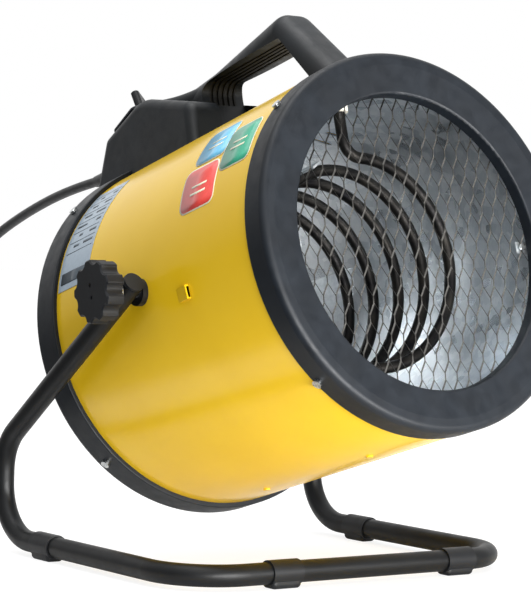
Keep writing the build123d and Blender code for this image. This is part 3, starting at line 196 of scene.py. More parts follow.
def rubbed_share(tree):
    """How far the surface is rubbed: EDGE_RUBBED on a sharp edge and 0 on a flat."""
    rounded = add_node(tree, "ShaderNodeBevel", {"samples": 4, "Radius": EDGE_MM * MM})
    surface = add_node(tree, "ShaderNodeNewGeometry")
    agreement = add_node(tree, "ShaderNodeVectorMath", {"operation": "DOT_PRODUCT"},
                         {0: rounded.outputs["Normal"], 1: surface.outputs["Normal"]})
    share = add_node(tree, "ShaderNodeMapRange",
                     {"From Min": EDGE_BEND[0], "From Max": EDGE_BEND[1],
                      "To Min": EDGE_RUBBED, "To Max": 0.0}, {"Value": agreement.outputs["Value"]})
    return share.outputs["Result"]


def galvanised_sheet(name, dark, light, roughness):
    """Hot-dip galvanised sheet: zinc crystals, each with its own shade and gloss."""
    material, tree, shader = new_finish(name, Metallic=1.0)
    points = add_node(tree, "ShaderNodeTexCoord").outputs["Object"]
    spangle = add_node(tree, "ShaderNodeTexVoronoi", {"Scale": 1 / (SPANGLE_MM * MM)},
                       {"Vector": points})
    crystal = add_node(tree, "ShaderNodeSeparateColor", links={"Color": spangle.outputs["Color"]})
    add_shades(tree, shader, crystal.outputs["Red"], dark, light,
               (roughness - 0.06, roughness + 0.08))
    add_grain(tree, shader, points, 5, 3, 0.05)
    return material


def bare_metal(name, dark, light, roughness):
    """Plated, turned or pressed metal, left bare: bright, with small stains that dull it."""
    return mottled_finish(name, dark, light, cloud=(3, 4),
                          gloss=(3, 4, roughness - 0.05, roughness + 0.1), Metallic=1.0)


def heat_tinted_tube(name):
    """Nickel alloy heater tube: dark oxide over metal, in patches that lean to blue or brown."""
    return mottled_finish(name, "#1b1b1d", "#34322f", cloud=(14, 4), gloss=(4, 4, 0.4, 0.6),
                          grain=(1.2, 3, 0.02), Metallic=1.0)


def unglazed_ceramic(name):
    """Pressed steatite: dry, off-white, with fine pores."""
    return mottled_finish(name, "#d8d0be", "#ece6d8", cloud=(4, 3), grain=(0.5, 3, 0.05),
                          Roughness=0.75, IOR=1.55)


def cable_rubber(name, dark, light, roughness):
    """Extruded rubber: matt black and slightly chalky, with a fine uneven skin."""
    return mottled_finish(name, dark, light, cloud=(15, 4),
                          gloss=(5, 3, roughness - 0.05, roughness + 0.1),
                          grain=(SHEATH_GRAIN_MM, 3, 0.03),
                          IOR=1.52, Sheen_Weight=0.15, Sheen_Roughness=0.5)


def printed_film(name, colour, roughness):
    """Printed vinyl film: even ink under a thin gloss varnish, with a little mottle."""
    return mottled_finish(name, colour, paler(colour, 8), cloud=(2.5, 3), IOR=1.46,
                          Coat_Weight=0.3, Coat_Roughness=0.12, Roughness=roughness)


YELLOW = stoved_enamel("yellow_stoved_enamel", "#f0c41a", "#f5ca22", 0.2)
STAND_BLACK = powder_coat("black_powder_coat", "#08090b", "#0d0f11", 0.42)
GUARD_ZINC = bare_metal("guard_zinc_plated", "#a9adb0", "#cdd0d2", 0.35)
RING_PLASTIC = moulded_plastic("ring_black_nylon", "#0c1117", "#12181f", 0.45)
HOUSING_PLASTIC = moulded_plastic("housing_black_abs", "#101418", "#161b20", 0.45)
LINER_PLASTIC = moulded_plastic("liner_soft_black", "#0e0f11", "#151618", 0.6)
KNOB_PLASTIC = moulded_plastic("knob_black_phenolic", "#0e1013", "#15171b", 0.4)
CLIP_PLASTIC = moulded_plastic("clip_black_polythene", "#0e0f12", "#15171a", 0.45)
DIAL_PLASTIC = moulded_plastic("dial_grey_polycarbonate", "#1e2126", "#262a2f", 0.35)
SWITCH_PLASTIC = moulded_plastic("switch_pale_thermoset", "#cfcdc4", "#dcdad2", 0.5)
GALVANISED = galvanised_sheet("galvanised_sheet", "#ccd3d9", "#eef2f5", 0.32)
NET_STEEL = bare_metal("dull_expanded_steel", "#4b4a48", "#6d6b67", 0.45)
ZINC = bare_metal("zinc_plated_steel", "#b5b8ba", "#dfe1e0", 0.25)
STEEL = bare_metal("turned_steel", "#8d9093", "#b4b7b9", 0.32)
FAN_SHEET = bare_metal("pressed_aluminium", "#cfd3d6", "#e6e9eb", 0.34)
ELEMENT = heat_tinted_tube("nickel_alloy_tube")
CERAMIC = unglazed_ceramic("steatite_ceramic")
CABLE = cable_rubber("cable_black_rubber", "#17181a", "#202224", 0.5)
PLUG_RUBBER = cable_rubber("plug_black_rubber", "#141517", "#1b1c1e", 0.5)
NICKEL_BRASS = bare_metal("nickel_plated_brass", "#c3bda8", "#ddd8c8", 0.22)
FOIL = printed_film("plate_silver_film", "#9fb0bf", 0.35)
FILM_WHITE = printed_film("decal_white_film", "#f3efd2", 0.3)
FILM_RED = printed_film("decal_red_film", "#e4473f", 0.3)
FILM_GREEN = printed_film("decal_green_film", "#37a886", 0.3)
FILM_BLUE = printed_film("decal_blue_film", "#74c6ee", 0.3)
INK_GREY = printed_film("plate_grey_ink", "#4c5761", 0.45)
INK_WHITE = printed_film("dial_white_ink", "#e6e8e8", 0.45)

NODE_FINISHES = {
    "drum_shell": YELLOW,
    "seam_rivets": YELLOW,
    "front_ring": RING_PLASTIC,
    "rear_ring": RING_PLASTIC,
    "ring_screws": ZINC,
    "grille_rivets": ZINC,
    "grille_tabs": GALVANISED,
    "inner_duct": GALVANISED,
    "duct_brackets": GALVANISED,
    "thermal_cutout": CERAMIC,
    "heating_element": ELEMENT,
    "ceramic_bushes": CERAMIC,
    "terminal_pins": STEEL,
    "element_supports": GALVANISED,
    "fan_impeller": FAN_SHEET,
    "fan_hub": STEEL,
    "hub_screw": STEEL,
    "motor_shaft": STEEL,
    "motor_body": STEEL,
    "motor_screws": ZINC,
    "rear_guard": GUARD_ZINC,
    "control_housing": HOUSING_PLASTIC,
    "grip_liner": LINER_PLASTIC,
    "dial_plate": DIAL_PLASTIC,
    "selector_knob": KNOB_PLASTIC,
    "thermostat_knob": KNOB_PLASTIC,
    "selector_spindle": STEEL,
    "thermostat_spindle": STEEL,
    "selector_switch": SWITCH_PLASTIC,
    "thermostat": ZINC,
    "terminal_block": SWITCH_PLASTIC,
    "housing_screws": ZINC,
    "cable_gland": PLUG_RUBBER,
    "data_plate": FOIL,
    "left_spacer": CLIP_PLASTIC,
    "right_spacer": CLIP_PLASTIC,
    "left_weld_nut": STEEL,
    "right_weld_nut": STEEL,
    "left_stud": ZINC,
    "right_stud": ZINC,
    "left_washer": ZINC,
    "right_washer": ZINC,
    "left_clamp_knob": KNOB_PLASTIC,
    "right_clamp_knob": KNOB_PLASTIC,
    "stand_tube": STAND_BLACK,
    "tube_end_plugs": CLIP_PLASTIC,
    "foot_clips": CLIP_PLASTIC,
    "coil_tie": LINER_PLASTIC,
    "plug_body": PLUG_RUBBER,
    "plug_pins": NICKEL_BRASS,
}

for node_name, finish in NODE_FINISHES.items():
    for material_slot in frame["nodes"][node_name].material_slots:
        material_slot.material = finish


# ---- Camera, at the photograph's place ----

CAMERA_FROM_STUDS = (-1061.0, -1405.3, 38.8)    # mm
CAMERA_HEADING = 36.3665               # degrees from +Y towards +X
CAMERA_DROP = 1.4147                   # degrees that it looks down
CAMERA_ROLL = 1.8054                   # degrees, its right side up
CAMERA_LENS = 139.72                   # mm, for a sensor as high as the photograph
CAMERA_SENSOR = 36.0


def place_camera():
    """The camera, aimed by its heading, drop and roll."""
    place = PIVOT + Vector(CAMERA_FROM_STUDS) * MM
    heading, drop, roll = (math.radians(a) for a in (CAMERA_HEADING, CAMERA_DROP, CAMERA_ROLL))
    look = Vector((math.sin(heading) * math.cos(drop), math.cos(heading) * math.cos(drop),
                   -math.sin(drop)))
    right = look.cross(Vector((0, 0, 1))).normalized()
    up = right.cross(look)
    turned_right = right * math.cos(roll) + up * math.sin(roll)
    turned_up = up * math.cos(roll) - right * math.sin(roll)
    turn = Matrix((turned_right, turned_up, -look)).transposed().to_4x4()
    data = bpy.data.cameras.new("photo_camera")
    data.lens = CAMERA_LENS
    data.sensor_width = CAMERA_SENSOR
    camera = bpy.data.objects.new("photo_camera", data)
    camera.matrix_world = Matrix.Translation(place) @ turn
    bpy.context.scene.collection.objects.link(camera)
    bpy.context.scene.camera = camera


# ---- The mains cable ----

CABLE_RADIUS = 4.0
CABLE_FACETS = 7                       # Blender's bevel resolution of the round sheath
CABLE_STEPS = 6                        # points that the drawn line has between two route points
ROUTE = [                              # from the gland to the coil: x, y from the studs, z, in mm
    (-37.0, 224.4, 290.2), (-37.0, 265.9, 283.6), (-37.0, 330.0, 266.0), (-38.0, 392.0, 242.0),
    (-42.0, 431.0, 213.0), (-51.0, 456.0, 179.0), (-61.0, 470.0, 140.0), (-74.0, 477.0, 101.0),
    (-91.0, 478.0, 64.0), (-111.0, 471.0, 36.0), (-132.0, 461.0, 18.0), (-152.5, 443.5, 8.5),
    (-163.0, 413.0, 5.0),
]
COIL_CENTRE = (-112.0, 386.0)
COIL_OUTER = 51.0                      # radius of the outer turn
COIL_PITCH = 8.7                       # between turns that lie side by side
COIL_LAYER = 8.7                       # between turns that lie on each other
COIL_LOW = 5.0                         # height of the lower layer's middle
COIL_TURNS = 3.5
COIL_LAYER_TURNS = 1.5
COIL_CLIMB_TURNS = 0.5                 # turns in which the cable climbs to the upper layer
COIL_STEPS = 24                        # points for each turn
CABLE_END_RUN = 8.0                    # straight run into the plug


def coil_point(turns):
    """Middle of the cable after so many turns. It winds in, climbs, and winds out again."""
    radius = COIL_OUTER - COIL_PITCH * min(turns, COIL_TURNS - turns)
    climb = min(max((turns - COIL_LAYER_TURNS) / COIL_CLIMB_TURNS, 0), 1)
    angle = math.pi + 2 * math.pi * turns
    radius /= math.cos(math.pi / COIL_STEPS)
    return (COIL_CENTRE[0] + radius * math.cos(angle), COIL_CENTRE[1] + radius * math.sin(angle),
            COIL_LOW + COIL_LAYER * climb * climb * (3 - 2 * climb))


def floor_point(point):
    """A route point in the row frame, in metres."""
    return Vector((point[0] * MM, PIVOT.y + point[1] * MM, point[2] * MM))


def curve_mesh(line, name):
    """The mesh that a curve object gives with its present bevel."""
    bpy.context.view_layer.update()
    shown = line.evaluated_get(bpy.context.evaluated_depsgraph_get())
    mesh = bpy.data.meshes.new_from_object(shown)
    mesh.name = name
    return mesh


def cable_line():
    """The route and the coil as one NURBS line, from the gland to the plug."""
    steps = int(COIL_TURNS * COIL_STEPS)
    loops = [coil_point((number + 0.5) / COIL_STEPS) for number in range(steps)]
    end = coil_point(COIL_TURNS)
    straight = COIL_CENTRE[0] + COIL_OUTER
    points = ROUTE + loops
    points += [(straight, end[1], end[2]), (straight, end[1] + CABLE_END_RUN, end[2])]
    curve = bpy.data.curves.new("mains_cable_line", "CURVE")
    curve.dimensions = "3D"
    curve.bevel_resolution = CABLE_FACETS
    curve.use_fill_caps = True
    spline = curve.splines.new("NURBS")
    spline.points.add(len(points) - 1)
    for place, point in zip(spline.points, points):
        place.co = (*floor_point(point), 1.0)
    spline.order_u = 3
    spline.use_endpoint_u = True
    spline.resolution_u = CABLE_STEPS
    line = bpy.data.objects.new("mains_cable_line", curve)
    bpy.context.scene.collection.objects.link(line)
    return line


def make_cable():
    """The lead as one round tube from the gland, along the route and round the coil, to the plug.
    """
    line = cable_line()
    path = [vertex.co.copy() for vertex in curve_mesh(line, "mains_cable_path").vertices]
    line.data.bevel_depth = CABLE_RADIUS * MM
    cable = bpy.data.objects.new("mains_lead", curve_mesh(line, "mains_lead"))
    bpy.data.objects.remove(line)
    bpy.context.scene.collection.objects.link(cable)
    cable.data.materials.clear()
    cable.data.materials.append(CABLE)
    for polygon in cable.data.polygons:
        polygon.use_smooth = True
    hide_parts("mains_cable", "cable_coil")
    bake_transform(cable)


place_camera()
make_cable()


# ---- Places on the drum ----

def on_drum(x, depth, z):
    """A point of the drum's own frame, in mm, as a place in the row frame."""
    y = depth - PIVOT_SETBACK
    return PIVOT + Vector((x, y * math.cos(TILT) + z * math.sin(TILT),
                           z * math.cos(TILT) - y * math.sin(TILT))) * MM


def round_drum(radius, depth, angle):
    """A point at a radius and an angle round the drum, in mm and degrees."""
    turn = math.radians(angle)
    return on_drum(radius * math.cos(turn), depth, radius * math.sin(turn))


def mesh_object(name, vertices, faces, finish, body, smooth=False):
    """A piece made of the given faces, which rides on a body."""
    mesh = bpy.data.meshes.new(name)
    mesh.from_pydata(vertices, [], faces)
    mesh.validate()
    mesh.materials.append(finish)
    for polygon in mesh.polygons:
        polygon.use_smooth = smooth
    piece = bpy.data.objects.new(name, mesh)
    bpy.context.scene.collection.objects.link(piece)
    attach(piece, body)
    return piece


def thicken(piece, thickness_mm):
    """Gives a sheet its thickness, half to each side."""
    sheet = piece.modifiers.new("thickness", "SOLIDIFY")
    sheet.thickness = thickness_mm * MM
    sheet.offset = 0


# ---- The front net ----

NET_WIDTH = 10.9                       # from one gap to the next beside it
NET_HEIGHT = 27.5                      # from one gap to the next over it
NET_SIDE = 5.0                         # upright side of a gap's outline
STRAND = 0.8
STRAND_THICKNESS = 0.5
STRAND_TILT = 0.4                      # how far a strand's edges stand before and behind the middle
NET_RADIUS = 117.0
NET_DEPTH = 12.7
NET_WELD = 0.02                        # corners nearer than this are one
NET_SLIVER = 0.01                      # edges shorter than this go


def net_cell(inset):
    """Corners of one gap's outline, drawn in by an inset square to its sides."""
    rise = (NET_HEIGHT / 2 - NET_SIDE) / (NET_WIDTH / 2)
    half_w = NET_WIDTH / 2 - inset
    half_h = (NET_HEIGHT - NET_SIDE) / 2 - inset * math.sqrt(1 + rise ** 2)
    flat = half_h - rise * half_w
    return [(0, half_h), (half_w, flat), (half_w, -flat),
            (0, -half_h), (-half_w, -flat), (-half_w, flat)]


def add_gap(shape, cx, cz):
    """The strands round one gap, cut off at the net's edge."""
    ring = []
    for (ox, oz), (gx, gz) in zip(net_cell(0), net_cell(STRAND / 2)):
        tilt = -STRAND_TILT if gz > 0 else STRAND_TILT
        ring.append([(cx + ox, cz + oz, 0.0), (cx + gx, cz + gz, tilt)])
    for corner in range(len(ring)):
        (a, b), (d, c) = ring[corner], ring[(corner + 1) % len(ring)]
        if all(math.hypot(p[0], p[1]) >= NET_RADIUS for p in (a, b, c, d)):
            continue
        places = []
        for x, z, depth in (a, b, c, d):
            shrink = min(1.0, NET_RADIUS / max(math.hypot(x, z), 1e-6))
            places.append(shape.verts.new(on_drum(x * shrink, NET_DEPTH + depth, z * shrink)))
        shape.faces.new(places)


def make_net():
    """Expanded metal: every strand is tilted, one long edge forward and the other back."""
    columns = int(2 * NET_RADIUS / NET_WIDTH) + 2
    rows = int(NET_RADIUS / NET_HEIGHT) + 2
    shape = bmesh.new()
    for column in range(-columns, columns + 1):
        for row in range(-rows, rows + 1):
            cx = column * NET_WIDTH / 2
            cz = row * NET_HEIGHT + (NET_HEIGHT / 2 if column % 2 else 0)
            if math.hypot(cx, cz) <= NET_RADIUS + NET_HEIGHT:
                add_gap(shape, cx, cz)
    bmesh.ops.remove_doubles(shape, verts=shape.verts, dist=NET_WELD * MM)
    bmesh.ops.dissolve_degenerate(shape, edges=shape.edges, dist=NET_SLIVER * MM)
    bmesh.ops.recalc_face_normals(shape, faces=shape.faces)
    mesh = bpy.data.meshes.new("expanded_net")
    shape.to_mesh(mesh)
    shape.free()
    mesh.materials.append(NET_STEEL)
    net = bpy.data.objects.new("expanded_net", mesh)
    bpy.context.scene.collection.objects.link(net)
    thicken(net, STRAND_THICKNESS)
    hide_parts("front_grille")
    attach(net, "drum")


make_net()


# ---- Labels, printed on the drum ----

SKIN_RADIUS = 138.1
LABEL_RADIUS = 138.42                  # just over the data plate's face
PRINT_STEP = 4.0                       # mm between a print's points round the drum
CORNER_STEPS = 6                       # points in a rounded corner
INK_THICKNESS = 0.04
FILM_THICKNESS = 0.2
TILE_CORNER = 6.0
BORDER_CORNER = 7.2
BORDER_DEPTH = 1.2                     # how far the border stands out along the drum, mm
BORDER_ANGLE = 0.5                     # how far it stands out round the drum, degrees


def bent_field(radius, depths, angles, slant=0.0, corner=0.0):
    """A field bent round the drum. Slant shifts it along the drum from its lower to upper edge."""
    arc = math.radians(angles[1] - angles[0]) * radius
    rows = max(2, int(arc / PRINT_STEP))
    stations = [number / rows * arc for number in range(rows + 1)]
    if corner:
        turns = [corner * (1 - math.cos(math.radians(90 * number / CORNER_STEPS)))
                 for number in range(CORNER_STEPS + 1)]
        stations = turns + [a for a in stations if corner < a < arc - corner]
        stations += [arc - a for a in reversed(turns)]
    vertices = []
    for along in stations:
        edge = min(along, arc - along)
        inset = 0.0
        if edge < corner:
            inset = corner - math.sqrt(max(0.0, corner ** 2 - (corner - edge) ** 2))
        shift = slant * (along / arc - 0.5)
        angle = angles[0] + (angles[1] - angles[0]) * along / arc
        vertices.append(round_drum(radius, depths[0] + inset + shift, angle))
        vertices.append(round_drum(radius, depths[1] - inset + shift, angle))
    faces = [(2 * n, 2 * n + 1, 2 * n + 3, 2 * n + 2) for n in range(len(stations) - 1)]
    return vertices, faces


def print_piece(name, fields, finish, thickness=INK_THICKNESS):
    """One thin printed or stuck-on piece made of several fields."""
    vertices, faces = [], []
    for field_vertices, field_faces in fields:
        base = len(vertices)
        vertices += field_vertices
        faces += [tuple(base + corner for corner in face) for face in field_faces]
    piece = mesh_object(name, vertices, faces, finish, "drum", smooth=True)
    thicken(piece, thickness)
    return piece


DECAL_TILES = (                        # depths, angles, slant and colour of each tile
    ((31.0, 66.0), (136.0, 152.5), -4.0, FILM_GREEN),
    ((68.5, 106.0), (130.0, 145.0), -4.0, FILM_BLUE),
    ((66.5, 107.0), (147.0, 162.0), -4.0, FILM_RED),
)
DECAL_BARS = (                         # depths and angles of the plain bars on the tiles
    ((41.0, 58.0), (142.6, 143.4)), ((41.0, 58.0), (145.2, 146.0)),
    ((78.0, 96.0), (136.2, 137.0)), ((78.0, 96.0), (138.8, 139.6)),
    ((77.0, 96.0), (153.6, 154.4)), ((77.0, 96.0), (156.2, 157.0)),
)


def make_decal():
    """Three plain rounded tiles with a pale border and two plain bars on each."""
    middle = SKIN_RADIUS + FILM_THICKNESS / 2
    border = [bent_field(middle, (depths[0] - BORDER_DEPTH, depths[1] + BORDER_DEPTH),
                         (angles[0] - BORDER_ANGLE, angles[1] + BORDER_ANGLE), slant, BORDER_CORNER)
              for depths, angles, slant, colour in DECAL_TILES]
    film = print_piece("decal_border", border, FILM_WHITE, FILM_THICKNESS)
    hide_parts("side_decal")
    ink = SKIN_RADIUS + FILM_THICKNESS + INK_THICKNESS
    for number, (depths, angles, slant, colour) in enumerate(DECAL_TILES):
        tile = bent_field(ink, depths, angles, slant, TILE_CORNER)
        print_piece(f"decal_tile_{number}", [tile], colour)
    bars = [bent_field(ink + 2 * INK_THICKNESS, depths, angles) for depths, angles in DECAL_BARS]
    print_piece("decal_bars", bars, FILM_WHITE)


PLATE_DEPTHS = (232.0, 269.0)
PLATE_BAR = (162.0, 166.0)             # angles of the solid bar at the plate's foot
PLATE_BAR_CORNER = 1.0
PLATE_STEP = 4.0                       # degrees between the ruled lines
PLATE_LINES = 7
PLATE_FIRST_LINE = 131.0
PLATE_LINE_ANGLE = 0.25                # a line's own width, degrees
PLATE_FIRST_ENTRY = 132.4
PLATE_ENTRY_ANGLE = 0.9
PLATE_ENTRIES = (                      # start, shortest end, step and number of the lengths, mm
    (233.5, 240.0, 3.5, 3),
    (253.0, 258.0, 3.0, 4),
)


def make_plate_print():
    """Plain ruled fields, with nothing written in them."""
    fields = [bent_field(LABEL_RADIUS, PLATE_DEPTHS, PLATE_BAR, 0.0, PLATE_BAR_CORNER)]
    for number in range(PLATE_LINES):
        angle = PLATE_FIRST_LINE + PLATE_STEP * number
        fields.append(bent_field(LABEL_RADIUS, PLATE_DEPTHS, (angle, angle + PLATE_LINE_ANGLE)))
    for number in range(PLATE_LINES - 1):
        angle = PLATE_FIRST_ENTRY + PLATE_STEP * number
        for start, end, step, lengths in PLATE_ENTRIES:
            fields.append(bent_field(LABEL_RADIUS, (start, end + step * (number % lengths)),
                                     (angle, angle + PLATE_ENTRY_ANGLE)))
    print_piece("plate_print", fields, INK_GREY)


make_decal()
make_plate_print()


# ---- Marks on the dial plate, and the knobs' pointers ----

PANEL_OUT = Vector(joints["selector_turn"]["axis"])
PANEL_RIGHT = Vector((-1.0, 0.0, 0.0))         # as one sees it who stands behind the heater
PANEL_UP = PANEL_OUT.cross(PANEL_RIGHT)
PRINT_LIFT = 0.05                      # middle of the ink over the dial plate
TICK_RING = (14.9, 17.0)               # radii of a tick's two ends
TICK_HALF_WIDTH = 0.45
FIGURE_RING = 19.4
FIGURE_SIZE = 4.4
POINTER_TURN = 41.0                    # where the knobs point at rest, each to its own side
POINTER_SIZE = (8.6, 1.0, 0.3)         # length, width, and top over the groove's floor
POINTER_MIDDLE = 7.4                   # from the knob's axis to the middle of the paint
POINTER_DEPTH = 0.5                    # of the groove under the knob's top
POINTER_LIFT = 0.02                    # of the paint over the groove's floor

SELECTOR_TICKS = (-49, -4, 41, 86)     # the first is off, and has no figure
SELECTOR_FIGURES = (("1", -4), ("2", 41), ("3", 86))
THERMOSTAT_TICKS = range(-41, 230, 30)
THERMOSTAT_FIGURES = (("1", 10), ("2", 50), ("3", 90), ("4", 130), ("5", 170))


def top_along(node, way):
    """How far a node reaches along a direction."""
    piece = frame["nodes"][node]
    return max((piece.matrix_world @ vertex.co).dot(way) for vertex in piece.data.vertices)


def on_plate(joint, radius, turn, height):
    """A place round a knob's axis, at a turn in degrees from +X towards the rear edge."""
    centre = Vector(joints[joint]["pos_m"])
    centre += PANEL_OUT * (height - centre.dot(PANEL_OUT))
    angle = math.radians(turn)
    return centre + (-PANEL_RIGHT * math.cos(angle) - PANEL_UP * math.sin(angle)) * radius * MM


def make_ticks(name, joint, turns):
    """Short strokes printed round a knob."""
    height = top_along("dial_plate", PANEL_OUT) + PRINT_LIFT * MM
    half = math.degrees(TICK_HALF_WIDTH / TICK_RING[0])
    inner, outer = TICK_RING
    vertices, faces = [], []
    for turn in turns:
        base = len(vertices)
        for radius, side in ((inner, -half), (outer, -half), (outer, half), (inner, half)):
            vertices.append(on_plate(joint, radius, turn + side, height))
        faces.append((base, base + 1, base + 2, base + 3))
    ticks = mesh_object(name, vertices, faces, INK_WHITE, "drum")
    thicken(ticks, INK_THICKNESS)


def make_figures(joint, marks):
    """Figures printed beyond the ticks, upright for one who stands behind the heater."""
    height = top_along("dial_plate", PANEL_OUT) + PRINT_LIFT * MM
    axes = Matrix((PANEL_RIGHT, PANEL_UP, PANEL_OUT)).transposed().to_4x4()
    for text, turn in marks:
        line = bpy.data.curves.new(f"{joint}_figure_{text}", "FONT")
        line.body = text
        line.size = FIGURE_SIZE * MM
        line.align_x = "CENTER"
        line.align_y = "CENTER"
        line.extrude = INK_THICKNESS / 2 * MM
        line.materials.append(INK_WHITE)
        figure = bpy.data.objects.new(line.name, line)
        place = on_plate(joint, FIGURE_RING, turn, height)
        figure.matrix_world = Matrix.Translation(place) @ axes
        bpy.context.scene.collection.objects.link(figure)
        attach(figure, "drum")


def make_pointer(joint, body, knob, turn):
    """White paint in the groove of a knob's finger bar."""
    floor = top_along(knob, PANEL_OUT) - POINTER_DEPTH * MM
    long, wide = POINTER_SIZE[0] / 2, POINTER_SIZE[1] / 2
    vertices = []
    for level in (POINTER_LIFT * MM, POINTER_SIZE[2] * MM):
        middle = on_plate(joint, POINTER_MIDDLE, turn, floor + level)
        along = on_plate(joint, POINTER_MIDDLE + long, turn, floor + level) - middle
        aside = PANEL_OUT.cross(along).normalized() * wide * MM
        vertices += [middle - along - aside, middle + along - aside,
                     middle + along + aside, middle - along + aside]
    faces = [(3, 2, 1, 0), (4, 5, 6, 7), (0, 1, 5, 4), (1, 2, 6, 5), (2, 3, 7, 6), (3, 0, 4, 7)]
    mesh_object(f"{knob}_pointer", vertices, faces, INK_WHITE, body)


make_ticks("selector_ticks", "selector_turn", SELECTOR_TICKS)
make_figures("selector_turn", SELECTOR_FIGURES)
make_ticks("thermostat_ticks", "thermostat_turn", THERMOSTAT_TICKS)
make_figures("thermostat_turn", THERMOSTAT_FIGURES)
make_pointer("selector_turn", "selector", "selector_knob", POINTER_TURN)
make_pointer("thermostat_turn", "thermostat_dial", "thermostat_knob", -POINTER_TURN)


# ---- Floor, backdrop and lamps ----

FLOOR_HALF = 12.0                      # metres from the middle to each edge
SHEET_EDGE = -0.215                    # the white sheet ends here on the heater's left, in metres
SHEET_FADE = 0.05
SHEET_MIRRORED = 0.1                   # share of white that the heater's gloss finds in the sheet
FLOOR_GLOW = 0.82                      # lifts the camera's view of the floor to white
BACKDROP_WAY = (0.6, 0.8, 0.0)         # from the heater to the backdrop
BACKDROP_FADE = (0.3, 0.75)            # how nearly a ray runs that way, at the backdrop's edge
CEILING_FADE = (0.6, 0.95)             # how steeply a ray rises, at the bright ceiling's edge
ROOM_FADE = (0.0, 0.85)                # how steeply it rises, at the dimmest and the brightest
ROOM_STRENGTH = (0.14, 1.0)            # the room's light at these two

LAMP_TARGET = (0.0, 0.0, 0.22)
LAMPS = (                              # name, place, width and height in metres, and watts
    ("key_softbox", (-0.9, -1.0, 2.1), 1.2, 1.2, 9),
    ("top_softbox", (-0.1, 0.2, 2.2), 1.6, 1.2, 18),
    ("front_softbox", (0.4, -2.0, 0.35), 1.6, 0.6, 26),
    ("low_softbox", (-0.15, -1.25, 0.1), 1.0, 0.16, 20),
)


def white_in_view(tree, glossy_share):
    """1 for rays that meet plain white: the camera's, those through glass, some mirrored ones."""
    path = add_node(tree, "ShaderNodeLightPath")
    direct = add_node(tree, "ShaderNodeMath", {"operation": "MAXIMUM"},
                      {0: path.outputs["Is Camera Ray"], 1: path.outputs["Is Transmission Ray"]})
    mirrored = add_node(tree, "ShaderNodeMath", {"operation": "MULTIPLY"},
                        {0: path.outputs["Is Glossy Ray"], 1: glossy_share})
    return add_node(tree, "ShaderNodeMath", {"operation": "MAXIMUM"},
                    {0: direct.outputs[0], 1: mirrored.outputs[0]}).outputs[0]


def floor_board():
    """Matt board: a white sheet under the heater, a grey table beyond, both white to the camera."""
    material, tree, shader = new_finish("matt_white_board", Roughness=0.9, Specular_IOR_Level=0.1)
    points = add_node(tree, "ShaderNodeTexCoord").outputs["Object"]
    across = add_node(tree, "ShaderNodeSeparateXYZ", links={"Vector": points}).outputs["X"]
    sheet = add_node(tree, "ShaderNodeMapRange",
                     {"From Min": SHEET_EDGE - SHEET_FADE, "From Max": SHEET_EDGE},
                     {"Value": across}).outputs["Result"]
    board = add_node(tree, "ShaderNodeMix",
                     {"data_type": "RGBA", FIRST_COLOUR: linear("#6e6e6e"),
                      SECOND_COLOUR: linear("#f4f4f4")}, {FACTOR: sheet})
    mirrored = add_node(tree, "ShaderNodeMath", {"operation": "MULTIPLY", 1: SHEET_MIRRORED},
                        {0: sheet})
    seen = white_in_view(tree, mirrored.outputs[0])
    shown = add_node(tree, "ShaderNodeMix",
                     {"data_type": "RGBA", SECOND_COLOUR: linear("#969696")},
                     {FACTOR: seen, FIRST_COLOUR: board.outputs[MIXED_COLOUR]})
    tree.links.new(shown.outputs[MIXED_COLOUR], shader.inputs["Base Color"])
    shader.inputs["Emission Color"].default_value = linear("#ffffff")
    glow = add_node(tree, "ShaderNodeMath", {"operation": "MULTIPLY", 1: FLOOR_GLOW}, {0: seen})
    tree.links.new(glow.outputs[0], shader.inputs["Emission Strength"])
    return material


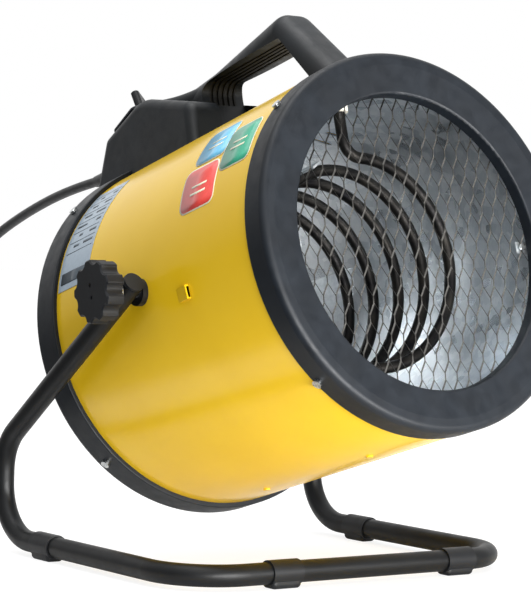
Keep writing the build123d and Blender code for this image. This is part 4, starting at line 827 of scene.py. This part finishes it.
def make_floor():
    """One flat sheet that reaches past every view."""
    mesh = bpy.data.meshes.new("floor")
    corners = [(-FLOOR_HALF, -FLOOR_HALF, 0), (FLOOR_HALF, -FLOOR_HALF, 0),
               (FLOOR_HALF, FLOOR_HALF, 0), (-FLOOR_HALF, FLOOR_HALF, 0)]
    mesh.from_pydata(corners, [], [(0, 1, 2, 3)])
    mesh.materials.append(floor_board())
    floor = bpy.data.objects.new("floor", mesh)
    bpy.context.scene.collection.objects.link(floor)


def make_world():
    """A dim room with a bright ceiling and a white backdrop, plain white to the camera."""
    world = bpy.data.worlds.new("studio")
    world.use_nodes = True
    tree = world.node_tree
    tree.nodes.clear()
    way = add_node(tree, "ShaderNodeTexCoord").outputs["Generated"]
    height = add_node(tree, "ShaderNodeSeparateXYZ", links={"Vector": way}).outputs["Z"]
    facing = add_node(tree, "ShaderNodeVectorMath", {"operation": "DOT_PRODUCT", 1: BACKDROP_WAY},
                      {0: way}).outputs["Value"]
    backdrop, ceiling, room = [
        add_node(tree, "ShaderNodeMapRange",
                 {"From Min": fade[0], "From Max": fade[1], "To Min": low, "To Max": high},
                 {"Value": source}).outputs["Result"]
        for source, fade, (low, high) in (
            (facing, BACKDROP_FADE, (0.0, 1.0)), (height, CEILING_FADE, (0.0, 1.0)),
            (height, ROOM_FADE, ROOM_STRENGTH))]
    pale = add_node(tree, "ShaderNodeMath", {"operation": "MAXIMUM"}, {0: backdrop, 1: ceiling})
    dim = add_node(tree, "ShaderNodeBackground", {"Color": linear("#ffffff")}, {"Strength": room})
    white = add_node(tree, "ShaderNodeBackground", {"Color": linear("#ffffff"), "Strength": 1.0})
    mix = add_node(tree, "ShaderNodeMixShader",
                   links={0: white_in_view(tree, pale.outputs[0]), 1: dim.outputs[0],
                          2: white.outputs[0]})
    add_node(tree, "ShaderNodeOutputWorld", links={"Surface": mix.outputs[0]})
    bpy.context.scene.world = world


def add_lamp(name, place, width, height, watts):
    """A softbox that faces the heater."""
    data = bpy.data.lights.new(name, "AREA")
    data.shape = "RECTANGLE"
    data.size = width
    data.size_y = height
    data.energy = watts
    lamp = bpy.data.objects.new(name, data)
    lamp.location = place
    towards = Vector(LAMP_TARGET) - Vector(place)
    lamp.rotation_euler = towards.to_track_quat("-Z", "Y").to_euler()
    bpy.context.scene.collection.objects.link(lamp)


make_floor()
make_world()
for lamp_row in LAMPS:
    add_lamp(*lamp_row)

bpy.context.scene.view_settings.view_transform = "Standard"
